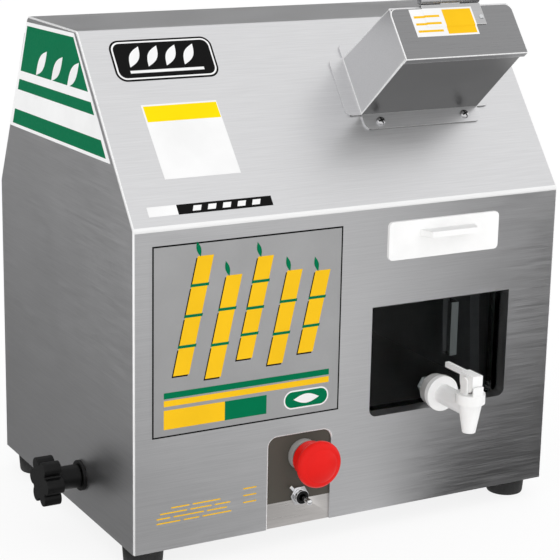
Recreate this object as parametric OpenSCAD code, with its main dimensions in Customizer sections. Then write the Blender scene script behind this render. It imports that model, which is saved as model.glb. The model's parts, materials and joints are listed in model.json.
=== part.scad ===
// Electric sugarcane juicer: a sheet steel casing with a three-roller mill, a belt and worm drive,
// a strainer drawer and a clear juice tank with a tap. Millimetres, +Z up, front towards -Y.
// Sizes are laid out from the casing's left front bottom corner and then moved to the origin.

/* [Casing] */
// Width of the casing
body_w = 400; // [380:1:440]
// Depth of the casing
body_d = 285; // [275:1:320]
// Height of the upright front
front_h = 266; // [255:1:290]
// Height of the top
top_h = 405; // [395:1:430]
// Depth taken up by the front slope
slope_run = 108.5; // [95:0.5:120]
// Depth of the flat top
top_d = 106.5; // [95:0.5:120]
// Height of the upright back
rear_h = 251.5; // [230:0.5:270]
// Thickness of the casing sheet
sheet_t = 1.5; // [1:0.1:2]
// Inside radius of the sheet bends
bend_r = 5; // [3:0.5:8]
// Width of the fold along the side panels
fold_w = 14; // [10:0.5:18]
// Thickness of the base plate
base_t = 3; // [2:0.5:5]

/* [Feet] */
// Diameter of a foot
foot_d = 35; // [28:1:38]
// Height of a foot
foot_h = 18; // [14:1:26]
// Foot centre from the casing's side
foot_inset_x = 20; // [19:0.5:30]
// Foot centre from the casing's front and back
foot_inset_y = 26; // [22:0.5:34]
// Diameter of a foot bolt
foot_bolt_d = 6; // [5:0.5:8]

/* [Feed chute] */
// Outside width of the feed chute
feed_w = 116; // [100:1:125]
// Outside height of the feed chute at the slope
feed_h = 54.5; // [48:0.5:58]
// Rise of the feed chute's lower wall towards the mouth
feed_low_in = 3.4; // [0:0.1:5]
// Drop of the feed chute's upper wall towards the mouth
feed_high_in = 4.3; // [0:0.1:6]
// Lower wall of the feed chute above the crease, along the slope
feed_rise = 83; // [78:0.5:90]
// Length of the feed chute outside the slope
feed_reach = 87; // [60:1:95]
// Length of the feed chute inside the slope
feed_depth = 38; // [20:1:42]
// Shift of the feed chute from the middle of the mill
feed_shift = 3; // [-4:0.5:4]
// Width of the chute flanges
chute_flange = 14; // [11:0.5:18]
// Overhang of the feed lid at each side
lid_lap = 1.5; // [0.5:0.1:4]
// Width of the lid hinge
hinge_w = 57; // [40:1:80]
// Diameter of the hinge knuckles
hinge_d = 6.4; // [5.5:0.1:8]
// Diameter of the hinge pin
hinge_pin_d = 3; // [2:0.1:4]

/* [Bagasse chute] */
// Outside width of the bagasse chute
outlet_w = 118; // [100:1:130]
// Outside height of the bagasse chute, along the rear slope
outlet_h = 60; // [50:0.5:68]
// Length of the bagasse chute outside the rear slope
outlet_reach = 40; // [30:1:80]

/* [Mill] */
// Middle of the mill from the right side of the casing
mill_inset = 114.5; // [108:0.5:125]
// Gap between the two cheek plates
mill_gap = 138; // [134:1:150]
// Thickness of a cheek plate
cheek_t = 10; // [6:0.5:12]
// Module of the roller gears
gear_module = 3; // [2.8:0.05:3.2]
// Teeth on each roller gear
gear_teeth = 21; // [20:1:22]
// Face width of the roller gears
gear_w = 18; // [12:0.5:20]
// Gap between two rollers
roller_gap = 3; // [1:0.1:6]
// Diameter of the roller shafts
shaft_d = 25; // [18:0.5:30]
// Wall of the roller bushes
bush_t = 4; // [2.5:0.1:5]
// First roller gap behind the slope
nip_depth = 76; // [73:0.5:84]
// First roller gap above the middle of the feed chute
nip_raise = 4.75; // [3:0.25:8]
// Diameter of the tie bars
tie_bar_d = 12; // [8:0.5:13]

/* [Juice path] */
// Width of the drawer face
drawer_w = 109; // [104:0.5:120]
// Height of the drawer face
drawer_h = 32.5; // [28:0.1:38]
// Shift of the drawer face from the middle of the mill
drawer_shift = -2.5; // [-3:0.5:3]
// Thickness of the drawer face
drawer_face_t = 3; // [2:0.5:10]
// Length of the drawer box
drawer_l = 225; // [180:1:240]
// Height of the juice tray
tray_h = 30; // [22:1:34]
// Height of the window sill
sill_h = 84; // [81:1:95]
// Width of the window
window_w = 138; // [134:1:146]
// Depth of the window's turned-in edge
window_depth = 12; // [8:0.5:16]
// Width of the juice tank
tank_w = 129; // [110:1:132]
// Length of the juice tank
tank_l = 202; // [150:1:210]
// Wall of the juice tank
tank_wall = 4; // [3:0.5:6]

/* [Tap] */
// Shift of the tap from the middle of the mill
tap_shift = 3.5; // [-10:0.5:10]
// Height of the tap above the window sill
tap_rise = 11.3; // [10.8:0.1:14]
// Tap axis in front of the tank
tap_reach = 55.6; // [50:0.1:70]
// Diameter of the tap flange
tap_flange_d = 31; // [26:0.5:36]
// Diameter of the tap neck
tap_neck_d = 17; // [14:0.5:19]
// Diameter of the tap barrel
tap_barrel_d = 20.5; // [18:0.5:22]
// Diameter of the ring around the tap
tap_ring_d = 25; // [24:0.5:30]
// Diameter of the nozzle's tip
tap_tip_d = 11.4; // [10.5:0.1:14]
// Length of the nozzle
nozzle_l = 26; // [22:0.5:32]
// Lever length behind the tap axis
tap_lever_l = 36; // [28:0.5:42]
// Thickness of a tap seal
seal_t = 5; // [3:0.5:6]

/* [Switches] */
// Middle of the switches from the casing's left side
switch_x = 150.5; // [140:0.5:158]
// Width of the notch in the front panel
notch_w = 59; // [52:0.5:64]
// Height of the notch in the front panel
notch_h = 80; // [78:0.5:80]
// Emergency stop to the right of the middle of the switches
estop_shift = 3; // [0:0.5:5]
// Height of the emergency stop
estop_z = 61.5; // [60:0.5:64]
// Diameter of the emergency stop head
estop_head_d = 40; // [34:0.5:42]
// Diameter of the emergency stop barrel
estop_barrel_d = 22; // [20:0.5:24]
// Height of the toggle switch
toggle_z = 26; // [25:0.5:29]
// Diameter of the toggle switch bush
toggle_bush_d = 12; // [11.5:0.1:13]

/* [Belt tension] */
// Knob from the casing's front
knob_y = 107; // [104:0.5:110]
// Knob height
knob_z = 32; // [30:0.5:40]
// Diameter of the star knob
knob_d = 42; // [34:0.5:50]
// Reach of the knob from the left side
knob_reach = 38; // [32:0.5:46]
// Diameter of the tension rod
rod_d = 8; // [6:0.5:10]

/* [Drive] */
// Motor axis height
motor_z = 95; // [88:0.5:105]
// Diameter of the motor shaft
motor_shaft_d = 19; // [14:0.5:22]
// Pitch diameter of the motor pulley
motor_pulley_d = 60; // [54:1:66]
// Pitch diameter of the worm pulley
worm_pulley_d = 90; // [80:1:96]
// Width of the belt
belt_w = 10; // [8:0.5:13]
// Thickness of the belt
belt_h = 8; // [6:0.5:9]
// Middle of the belt from the casing's front
belt_y = 79; // [76:0.5:81]
// Distance between the worm and its wheel's axis
worm_centre = 50; // [46:0.5:52]
// Room behind the motor
motor_back_gap = 30; // [24:0.5:60]

/* [Hidden] */
$fn = 48;

// Overrun of every cut
cut = 1;
// Radial clearance of a running shaft
run_fit = 0.05;
// Radial clearance of a piece fixed on a shaft or in a bore
fixed_fit = 0.05;
// Clearance of a sliding or turning piece
slide_gap = 0.3;
// Clearance of a screw or a pipe in its hole
hole_gap = 0.3;
// Gap between two slanting faces that lie on each other
seat_gap = 0.02;
// Facets of a sheet bend
bend_steps = 6;
// A hexagon's corner radius over half its width across flats
hex_share = 1 / cos(30);

// Colours
steel = [0.74, 0.74, 0.75];
dark_steel = [0.45, 0.46, 0.48];
white_plastic = [0.95, 0.95, 0.93];
black_plastic = [0.06, 0.06, 0.06];
rubber = [0.05, 0.05, 0.05];
clear = [0.85, 0.92, 0.92, 0.4];
red = [0.85, 0.05, 0.05];
bronze = [0.72, 0.52, 0.25];
cast_grey = [0.35, 0.38, 0.42];

// Casing outline in depth and height
top_back_y = slope_run + top_d;
slope_angle = atan2(top_h - front_h, slope_run);
rear_angle = atan2(top_h - rear_h, body_d - top_back_y);
rear_lip = 16;
seam = 0.5;
casing_path = [[0, 0], [0, front_h], [slope_run, top_h], [top_back_y, top_h], [body_d, rear_h],
[body_d, 0]];
front_path = [[0, 0], [0, front_h], [slope_run, top_h], [top_back_y, top_h], rear_point(rear_lip, 0)];
rear_path = [rear_point(rear_lip + seam, 0), [body_d, rear_h], [body_d, 0]];

// Mill axes in depth and height
mill_x = body_w - mill_inset;
mill_left = mill_x - mill_gap / 2;
mill_right = mill_x + mill_gap / 2;
drive_room = mill_left - cheek_t;
gear_pitch_d = gear_module * gear_teeth;
gear_tip_r = gear_pitch_d / 2 + gear_module;
gear_root_share = 1.25;
gear_root_r = gear_pitch_d / 2 - gear_root_share * gear_module;
gear_backlash = 0.4;
pressure_angle = 20;
flank_steps = 4;
roller_r = (gear_pitch_d - roller_gap) / 2;
roller_side_gap = 2;
roller_grooves = 24;
roller_groove = 2.4;
nip_along = feed_rise + feed_h / 2 + nip_raise;
mill_spread = 76;
feed_dir = 180 + slope_angle;
discharge_dir = feed_dir + mill_spread;
top_axis = slope_point(nip_along + gear_pitch_d / 2, -nip_depth);
feed_axis = top_axis + polar(gear_pitch_d, feed_dir);
discharge_axis = top_axis + polar(gear_pitch_d, discharge_dir);
mill_low = min(feed_axis[1], discharge_axis[1]);
shaft_stub = 6;
gear_gap = 2;
gear_x = mill_left - cheek_t - gear_gap - gear_w;
cheek_front = 50;
cheek_back_gap = 40;
cheek_back = body_d - cheek_back_gap;
cheek_waist = 75;
cheek_margin = 45;
cheek_back_share = 0.42;
cheek_back_margin = (body_d - discharge_axis[0]) * cheek_back_share;
cheek_top_half = 30;
cheek_top_rise = 32;
tie_out = 37;
tie_drop = 23;
tie_low_z = 45;
tie_low_inset = 20;
tie_places = [[feed_axis[0] - tie_out, feed_axis[1] - tie_drop],
              [cheek_front + tie_low_inset, tie_low_z],
              [cheek_back - tie_low_inset, tie_low_z]];
tie_nut_h = 6;
tie_nut_across = 12;
trash_gap = 3;
trash_t = 6;
trash_half_angle = 13;

// Feed chute and lid
feed_x = mill_x + feed_shift;
flap_r = 6;
lid_gap = 0.4;
lid_lip = 5;
lid_lip_gap = 0.5;
lid_corner = 7;
lid_top_gap = 1.5;
leaf_t = 0.8;
leaf_l = 24;
hinge_r = hinge_d / 2;
mouth_high = feed_h - feed_high_in;
mouth_lean = atan2(feed_high_in, feed_reach);
hinge_y = mouth_high + hinge_r + lid_top_gap / 2;
hinge_z = feed_reach + lid_gap + sheet_t + leaf_t / 2;
leaf_clear = 0.8;
knuckle_share = 1 / 3;
web_drop = 1;

// Bagasse chute, below the rear slope's seam
outlet_drop = 20;
outlet_low = rear_lip + seam + outlet_drop;

// Pan screws
screw_d = 4;
screw_head_d = 8;
screw_head_h = 2.6;
screw_l = 8;
chute_screw_share = 0.365;
rear_screw_shares = [0.12, 0.5, 0.9];

// Drawer, tray and tank, stacked down from the feed roller
drop_gap = 3.5;
drawer_z = mill_low - roller_r - drop_gap - drawer_h;
drawer_inset = 3;
drawer_head = 4.5;
drawer_side = 6.5;
drawer_box_w = drawer_w - 2 * drawer_side;
drawer_box_z = drawer_z + drawer_inset;
drawer_box_h = drawer_h - drawer_inset - drawer_head;
drawer_wall = 2.5;
drawer_ledge = 5;
drawer_slot_gap = 1.5;
drawer_corner = 4;
pull_w = 55;
pull_tip_w = 45;
pull_out = 12;
pull_t = 5;
pull_share = 0.585;
strainer_t = 1;
strainer_hole_d = 5;
strainer_cols = 7;
strainer_rows = 15;
rail_t = 2;
rail_lap = 5;
rail_front = 20;
tray_gap = 2;
tray_wall = 2;
tray_front = 60;
tray_back_gap = 10;
tray_back = drawer_l + tray_back_gap;
tray_top = drawer_z - tray_gap;
tray_z = tray_top - tray_h;
tray_spout_d = 16;
tray_spout_y = 110;
window_head = 7;
window_top = tray_z - window_head;
window_h = window_top - sill_h;
window_corner = 7;
tank_rim_drop = 5;
tank_gap = 1;
tank_y = window_depth + tank_gap;
tank_z = sill_h + slide_gap;
tank_top = window_top - tank_rim_drop;
tank_h = tank_top - tank_z;
tank_corner = 4;
tank_floor = 3;
spout_gap = 2;
shelf_fold = 20;
fin_shift = 13.5;
fin_w = 7;
fin_out = 13;
fin_low_share = 0.48;

// Tap
tap_x = mill_x + tap_shift;
tap_z = sill_h + tap_rise;
tap_y = tank_y - tap_reach;
tap_flange_t = 5;
tap_flange_y = tank_y - 2 * seal_t - tap_flange_t;
tap_shank_share = 0.72;
tap_bore_share = 0.6;
tap_nut_across = 2 * (tap_rise - slide_gap - tank_floor - hole_gap);
tap_shank_d = tap_nut_across * tap_shank_share;
tap_bore_d = tap_shank_d * tap_bore_share;
nozzle_bore_d = 4.4;
tap_nut_h = 8;
tap_shank_l = tank_wall + tap_nut_h + 2 * seal_t;
tap_ring_h = 8.5;
nozzle_rise = 4.7;
tap_nozzle_top = tap_z + nozzle_rise;
tap_ring_top = tap_nozzle_top + tap_ring_h;
hub_r = 9.5;
hub_w = 10;
hub_front = 9.5;
hub_top = 7;
hub_gap = 0.5;
hub_z = tap_ring_top + hub_gap + hub_r;
fork_t = 1.5;
fork_drop = 3;
guard_t = 1.6;
guard_drop = 2.4;
trunnion_d = 4;
ear_t = 2;
ear_gap = 0.3;
ear_w = 9;
lever_w = 4;
lever_t = 4.5;
plunger_d = 6;
plunger_out = 1.2;
plunger_seat_share = 0.5;

// Switches
plate_margin = 7;
plate_w = notch_w + 2 * plate_margin;
plate_x = switch_x - plate_w / 2;
plate_fold = 18;
collar_d = 27;
estop_neck_d = 23;
collar_out = 6.5;
estop_barrel_l = 28;
estop_stem_d = 14;
estop_travel = 4;
estop_gap = 4.5;
estop_head_l = 26.5;
estop_skirt_share = 0.75;
estop_flare_share = 0.8;
estop_edge_share = 0.13;
estop_dome_share = 0.12;
estop_stem_share = 0.6;
contact_w = 30;
contact_h = 38;
contact_l = 18;
contact_nut_d = 29;
contact_nut_l = 5;
toggle_bush_out = 7.5;
toggle_body_w = 25;
toggle_body_h = 16;
toggle_body_l = 27;
toggle_nut_across = 15;
toggle_nut_h = 3;
toggle_pivot_out = 4;
toggle_ball_d = 5.6;
toggle_root_d = 3.2;
toggle_tip_d = 5;
toggle_lever_l = 15;
toggle_throat_d = 6.4;
notch_corner = 8;

// Belt tension
knob_lobes = 6;
knob_t = 15;
knob_lobe_share = 0.155;
knob_hub_d = 20;
knob_bush_d = 16;
knob_bush_flange_d = 26;
knob_bush_flange_t = 3;
knob_bush_in = 10;
rod_collar_d = 18;
rod_collar_t = 4;
rod_past_nut = 12;
nut_block_w = 14;
nut_block_half = 12;

// Motor and belt
motor_x_share = 0.436;
motor_d_share = 0.605;
motor_foot_room_share = 0.218;
carriage_share = 0.3;
gearbox_share = 0.358;
motor_x = drive_room * motor_x_share;
motor_d = drive_room * motor_d_share;
motor_y = 95;
motor_l = body_d - motor_y - motor_back_gap;
shield_t = 12;
carriage_t = 8;
carriage_margin = 8;
carriage_half = drive_room * carriage_share;
guide_w = 6;
guide_h = 10;
motor_foot_half = drive_room * motor_foot_room_share;
motor_foot_inset = 25;
motor_foot_share = 0.55;
stator_share = 0.72;
rotor_gap = 0.8;
rotor_inset = 10;
shaft_past_pulley = 6;
pulley_rim_t = 4;
pulley_lip = 1;
belt_out = 3;
belt_steps = 16;
motor_axis = [motor_x, motor_z];

// Gearbox
gearbox_gap = 6;
gearbox_w = drive_room * gearbox_share;
worm_pulley_rim = worm_pulley_d / 2 + belt_out + pulley_lip;
gearbox_mid = gear_x - max(gearbox_gap + gearbox_w / 2, gear_gap + worm_pulley_rim);
gearbox_x = gearbox_mid - gearbox_w / 2;
gearbox_half = 45;
gearbox_rise = 50;
gearbox_wall = 8;
gearbox_cover_t = 6;
shelf_t = 6;
gusset = 60;
gearbox_z = mill_low - gear_tip_r - gearbox_gap;
gearbox_top = top_axis[1] + gearbox_rise;
gearbox_front = top_axis[0] - gearbox_half;
worm_r_share = 0.3;
worm_mesh_gap = 0.5;
worm_r = worm_r_share * worm_centre;
worm_wheel_r = worm_centre - worm_r - worm_mesh_gap;
worm_wheel_w = 18;
worm_teeth = 30;
worm_tooth = 2.4;
worm_l = 50;
worm_rings = 7;
worm_core_share = 0.8;
worm_shaft_d = 16;
worm_axis = [gearbox_mid, top_axis[1] - worm_centre];

// Rear panel fittings
vent_count = 6;
vent_w = 70;
vent_h = 5;
vent_pitch = 12;
vent_x = 90;
vent_z = 90;
gland_x = 60;
gland_z = 40;
gland_thread_d = 20;
gland_bore_d = 9;
gland_hex_across = 24;
gland_hex_t = 6;
gland_dome_l = 12;
gland_thread_l = 12;
gland_nut_t = 5;

// Origin: the middle of the whole part, on the floor under the feet
outlet_end = rear_point(outlet_low + outlet_h, outlet_reach);
gland_end = body_d + gland_hex_t + gland_dome_l;
lid_out = feed_reach + lid_gap + sheet_t;
lid_low = feed_low_in - lid_lip_gap - sheet_t;
front_end = min(tap_y - tap_ring_d / 2, slope_point(feed_rise + lid_low, lid_out)[0]);
mid_x = (body_w - knob_reach) / 2;
mid_y = (front_end + max(outlet_end[0], gland_end)) / 2;

// A point on the front slope: distance up the slope, distance out of it, as depth and height
function slope_point(along, out) = [along * cos(slope_angle) - out * sin(slope_angle),
                                    front_h + along * sin(slope_angle) + out * cos(slope_angle)];

// A point on the rear slope: distance down the slope, distance out of it, as depth and height
function rear_point(along, out) = [top_back_y + along * cos(rear_angle) + out * sin(rear_angle),
                                   top_h - along * sin(rear_angle) + out * cos(rear_angle)];

// Where two lines meet, each given by a point and a direction
function line_meet(p, d, q, e) = p + d * cross(q - p, e) / cross(d, e);

function unit(v) = v / norm(v);
function right_of(v) = [v[1], -v[0]] / norm(v);

// An open path moved to its right side
function moved_path(path, gap) = let (last = len(path) - 1)
    [for (i = [0 : last])
        i == 0 ? path[0] + right_of(path[1] - path[0]) * gap
        : i == last ? path[last] + right_of(path[last] - path[last - 1]) * gap
        : line_meet(path[i - 1] + right_of(path[i] - path[i - 1]) * gap, path[i] - path[i - 1],
                    path[i] + right_of(path[i + 1] - path[i]) * gap, path[i + 1] - path[i])];

// The arc that rounds the corner at b between a and c
function corner_arc(a, b, c, r) =
    let (u = unit(a - b), v = unit(c - b), half = acos(u * v) / 2,
         middle = b + unit(u + v) * r / sin(half),
         start = b + u * r / tan(half) - middle, stop = b + v * r / tan(half) - middle,
         from = atan2(start[1], start[0]), turn = atan2(cross(start, stop), start * stop))
    [for (k = [0 : bend_steps]) middle + polar(r, from + turn * k / bend_steps)];

// An open path with rounded corners
function rounded_path(path, r) = let (last = len(path) - 1)
    [for (i = [0 : last])
        each (i == 0 || i == last ? [path[i]] : corner_arc(path[i - 1], path[i], path[i + 1], r))];

function backwards(list) = [for (i = [len(list) - 1 : -1 : 0]) list[i]];

// The section of a bent sheet whose outside follows the path
function sheet_section(path) = concat(rounded_path(path, bend_r + sheet_t),
                                      backwards(rounded_path(moved_path(path, sheet_t), bend_r)));

// A belt's loop around two wheels
function belt_loop(a, ra, b, rb) =
    let (d = b - a, aim = atan2(d[1], d[0]), spread = acos((ra - rb) / norm(d)), step = 1 / belt_steps)
    concat([for (k = [0 : belt_steps]) a + polar(ra, aim + spread + (360 - 2 * spread) * k * step)],
           [for (k = [0 : belt_steps]) b + polar(rb, aim - spread + 2 * spread * k * step)]);

function polar(r, angle) = r * [cos(angle), sin(angle)];

// Moves a piece from the layout corner to the origin
module in_frame() translate([-mid_x, -mid_y, foot_h]) children();

// A depth and height outline drawn out along X
module along_x(start, length) translate([start, 0, 0]) rotate([90, 0, 90]) linear_extrude(length)
    children();

// A width and height outline drawn out along Y
module along_y(start, length) translate([0, start + length, 0]) rotate([90, 0, 0]) linear_extrude(length)
    children();

// Round bars along X and along Y
module rod_x(start, length, r, at) translate([start, at[0], at[1]]) rotate([0, 90, 0])
    cylinder(h = length, r = r);
module rod_y(start, length, r, at) translate([at[0], start, at[1]]) rotate([-90, 0, 0])
    cylinder(h = length, r = r);

// Hexagon bar along Y
module hex_y(start, length, across, at)
    translate([at[0], start, at[1]]) rotate([-90, 0, 0])
        cylinder(h = length, r = across / 2 * hex_share, $fn = 6);

// On the front slope: Y runs up the slope from the crease, Z out of it
module on_slope() translate([0, 0, front_h]) rotate([slope_angle, 0, 0]) children();

// On the rear slope: Y runs down the slope from the top, Z out of it
module on_rear_slope() translate([0, top_back_y, top_h]) rotate([-rear_angle, 0, 0]) children();

module rounded_square(size, r) {
    translate([r, 0]) square([size[0] - 2 * r, size[1]]);
    translate([0, r]) square([size[0], size[1] - 2 * r]);
    for (x = [r, size[0] - r])
        for (y = [r, size[1] - r])
            translate([x, y]) circle(r);
}

// A strip with its two far corners rounded
module flap(length, width, r) {
    square([length, width - r]);
    translate([r, 0]) square([length - 2 * r, width]);
    for (x = [r, length - r])
        translate([x, width - r]) circle(r);
}

// Casing

module window_outline(grow) {
    translate([mill_x + window_w / 2 + grow, window_top + grow]) rotate(180)
        flap(window_w + 2 * grow, window_h + 2 * grow, window_corner + grow);
}

module notch_outline() {
    translate([switch_x - notch_w / 2, -notch_corner])
        rounded_square([notch_w, notch_h + notch_corner], notch_corner);
}

module chute_hole(w, h) {
    translate([-w / 2 - hole_gap, -hole_gap, -bend_r - sheet_t])
        cube([w + 2 * hole_gap, h + 2 * hole_gap, 2 * bend_r]);
}

module front_panel() {
    color(steel) in_frame() difference() {
        union() {
            along_x(0, body_w) polygon(sheet_section(front_path));
            along_y(0, window_depth) window_outline(sheet_t);
        }
        along_y(-cut, window_depth + 2 * cut) window_outline(0);
        along_y(-cut, sheet_t + 2 * cut) notch_outline();
        along_y(-cut, sheet_t + 2 * cut)
            translate([mill_x - drawer_box_w / 2 - drawer_slot_gap, drawer_box_z - drawer_slot_gap])
                square([drawer_box_w + 2 * drawer_slot_gap, drawer_box_h + 2 * drawer_slot_gap]);
        on_slope() translate([feed_x, feed_rise, 0]) chute_hole(feed_w, feed_h);
        on_slope() feed_screw_places() screw_hole();
    }
}

module rear_panel() {
    color(steel) in_frame() difference() {
        along_x(0, body_w) polygon(sheet_section(rear_path));
        on_rear_slope() translate([mill_x, outlet_low, 0]) chute_hole(outlet_w, outlet_h);
        on_rear_slope() outlet_screw_places() screw_hole();
        rear_screw_places() screw_hole();
        for (i = [0 : vent_count - 1])
            translate([vent_x - vent_w / 2, body_d - sheet_t - cut, vent_z + i * vent_pitch])
                cube([vent_w, sheet_t + 2 * cut, vent_h]);
        rod_y(body_d - sheet_t - cut, sheet_t + 2 * cut, gland_thread_d / 2 + hole_gap, [gland_x, gland_z]);
    }
}

// The left panel; the right one is its mirror image
module side_panel() {
    outer = rounded_path(moved_path(casing_path, sheet_t), bend_r);
    inner = rounded_path(moved_path(casing_path, 2 * sheet_t), bend_r - sheet_t);
    along_x(0, sheet_t) polygon(outer);
    along_x(sheet_t, fold_w) difference() {
        polygon(outer);
        polygon(inner);
        square([body_d, base_t]);
    }
}

module left_side_panel() {
    color(steel) in_frame() difference() {
        side_panel();
        rod_x(-cut, sheet_t + 2 * cut, knob_bush_d / 2 + fixed_fit, [knob_y, knob_z]);
        rear_screw_places() screw_hole();
    }
}

module right_side_panel() {
    color(steel) in_frame() difference() {
        translate([body_w, 0, 0]) mirror([1, 0, 0]) side_panel();
        rear_screw_places() screw_hole();
    }
}

module foot_places() {
    for (x = [foot_inset_x, body_w - foot_inset_x])
        for (y = [foot_inset_y, body_d - foot_inset_y])
            translate([x, y, 0]) children();
}

carriage_y = knob_y - nut_block_half - carriage_margin / 2;
carriage_l = motor_y + motor_l - carriage_margin - carriage_y;

module base_plate() {
    color(dark_steel) in_frame() difference() {
        union() {
            translate([sheet_t, sheet_t, 0]) cube([body_w - 2 * sheet_t, body_d - 2 * sheet_t, base_t]);
            for (y = [carriage_y - slide_gap - guide_w, carriage_y + carriage_l + slide_gap])
                translate([motor_x - carriage_half, y, 0])
                    cube([2 * carriage_half, guide_w, base_t + guide_h]);
        }
        foot_places() translate([0, 0, -cut])
            cylinder(h = base_t + 2 * cut, d = foot_bolt_d + 2 * hole_gap);
        translate([plate_x - hole_gap, 0, -cut])
            cube([plate_w + 2 * hole_gap, 2 * sheet_t + hole_gap, base_t + 2 * cut]);
    }
}

foot_taper_share = 0.92;
foot_recess_share = 0.45;
foot_recess_d = 16;
foot_seat = -foot_h * (1 - foot_recess_share);

module feet() {
    color(rubber) in_frame() foot_places() difference() {
        translate([0, 0, -foot_h]) cylinder(h = foot_h, d1 = foot_d * foot_taper_share, d2 = foot_d);
        translate([0, 0, -foot_h - cut]) cylinder(h = foot_seat + foot_h + cut, d = foot_recess_d);
        translate([0, 0, -foot_h]) cylinder(h = foot_h + cut, d = foot_bolt_d + 2 * hole_gap);
    }
}

foot_bolt_head_share = 0.65;
foot_bolt_across_share = 1.66;
foot_nut_share = 0.8;

module foot_bolts() {
    head_h = foot_bolt_d * foot_bolt_head_share;
    across = foot_bolt_d * foot_bolt_across_share;
    nut_h = foot_bolt_d * foot_nut_share;
    color(dark_steel) in_frame() foot_places() {
        translate([0, 0, foot_seat - head_h]) cylinder(h = head_h, r = across / 2 * hex_share, $fn = 6);
        translate([0, 0, foot_seat]) cylinder(h = base_t + nut_h + sheet_t - foot_seat, d = foot_bolt_d);
        translate([0, 0, base_t]) difference() {
            cylinder(h = nut_h, r = across / 2 * hex_share, $fn = 6);
            translate([0, 0, -cut]) cylinder(h = nut_h + 2 * cut, d = foot_bolt_d + 2 * fixed_fit);
        }
    }
}

// Pan screws: each place has its Z pointing out of the sheet, with zero on the sheet's outside

module feed_screw_places() {
    for (side = [-1, 1])
        translate([feed_x + side * feed_w * chute_screw_share, feed_rise - chute_flange / 2, 0]) children();
}

module outlet_screw_places() {
    for (side = [-1, 1])
        translate([mill_x + side * outlet_w * chute_screw_share, outlet_low + outlet_h, 0])
            translate([0, chute_flange / 2, 0]) children();
}

module rear_screw_places() {
    for (x = [sheet_t + fold_w / 2, body_w - sheet_t - fold_w / 2])
        for (share = rear_screw_shares)
            translate([x, body_d, rear_h * share]) rotate([-90, 0, 0]) children();
}

module screw_hole() translate([0, 0, -screw_l]) cylinder(h = screw_l + 2 * cut, d = screw_d + 2 * hole_gap);

module pan_screw(lift) {
    translate([0, 0, lift - screw_l]) cylinder(h = screw_l + cut, d = screw_d);
    translate([0, 0, lift]) intersection() {
        cylinder(h = screw_head_h, d = screw_head_d);
        translate([0, 0, screw_head_h - screw_head_d]) sphere(d = 2 * screw_head_d);
    }
}

module pan_screws() {
    color(dark_steel) in_frame() {
        on_slope() feed_screw_places() pan_screw(sheet_t + 2 * seat_gap);
        on_rear_slope() outlet_screw_places() pan_screw(sheet_t + 2 * seat_gap);
        rear_screw_places() pan_screw(0);
    }
}

module cable_gland() {
    at = [gland_x, gland_z];
    inside = body_d - sheet_t;
    color(black_plastic) in_frame() {
        difference() {
            union() {
                hex_y(body_d, gland_hex_t, gland_hex_across, at);
                rod_y(body_d, gland_hex_t + gland_dome_l, gland_thread_d / 2, at);
                rod_y(inside - gland_thread_l, gland_thread_l + 2 * sheet_t, gland_thread_d / 2, at);
            }
            rod_y(inside - gland_thread_l - cut,
                  gland_thread_l + sheet_t + gland_hex_t + gland_dome_l + 2 * cut,
                  gland_bore_d / 2, at);
        }
        difference() {
            hex_y(inside - gland_nut_t, gland_nut_t, gland_hex_across, at);
            rod_y(inside - gland_nut_t - cut, gland_nut_t + 2 * cut, gland_thread_d / 2 + fixed_fit, at);
        }
    }
}

// Feed and bagasse chutes

// Section of a chute in distance up the slope and out of it; each wall may lean in towards the mouth
function chute_section(h, reach, depth, low_in, high_in, wall, past) =
    let (end = reach + past, lean = end / reach)
        [[wall, -depth - past], [h - wall, -depth - past], [h - wall, 0],
         [h - wall - high_in * lean, end], [wall + low_in * lean, end], [wall, 0]];

module chute(w, h, reach, depth, low_in = 0, high_in = 0) {
    difference() {
        union() {
            along_x(-w / 2, w) polygon(chute_section(h, reach, depth, low_in, high_in, 0, 0));
            linear_extrude(sheet_t) {
                translate([-w / 2, h / 2]) rotate(90) translate([-h / 2, 0]) flap(h, chute_flange, flap_r);
                translate([w / 2, h / 2]) rotate(-90) translate([-h / 2, 0]) flap(h, chute_flange, flap_r);
                translate([w / 2, sheet_t]) rotate(180) flap(w, chute_flange + sheet_t, flap_r);
                translate([-w / 2, h - sheet_t]) flap(w, chute_flange + sheet_t, flap_r);
            }
        }
        along_x(-w / 2 + sheet_t, w - 2 * sheet_t)
            polygon(chute_section(h, reach, depth, low_in, high_in, sheet_t, cut));
    }
}

module in_feed() on_slope() translate([feed_x, feed_rise, seat_gap]) children();

module feed_chute() {
    color(steel) in_frame() difference() {
        in_feed() chute(feed_w, feed_h, feed_reach, feed_depth, feed_low_in, feed_high_in);
        on_slope() feed_screw_places() screw_hole();
    }
}

module bagasse_chute() {
    color(steel) in_frame() difference() {
        on_rear_slope() translate([mill_x, outlet_low, seat_gap])
            chute(outlet_w, outlet_h, outlet_reach, 2 * sheet_t);
        on_rear_slope() outlet_screw_places() screw_hole();
    }
}

module knuckle(start, length) {
    rod_x(start, length, hinge_r, [hinge_y, hinge_z]);
}

// A point at the feed chute's upper wall: distance off it and past the mouth
function at_wall(off, past) = [mouth_high + seat_gap + off * cos(mouth_lean) - past * sin(mouth_lean),
                               feed_reach + off * sin(mouth_lean) + past * cos(mouth_lean)];

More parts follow.
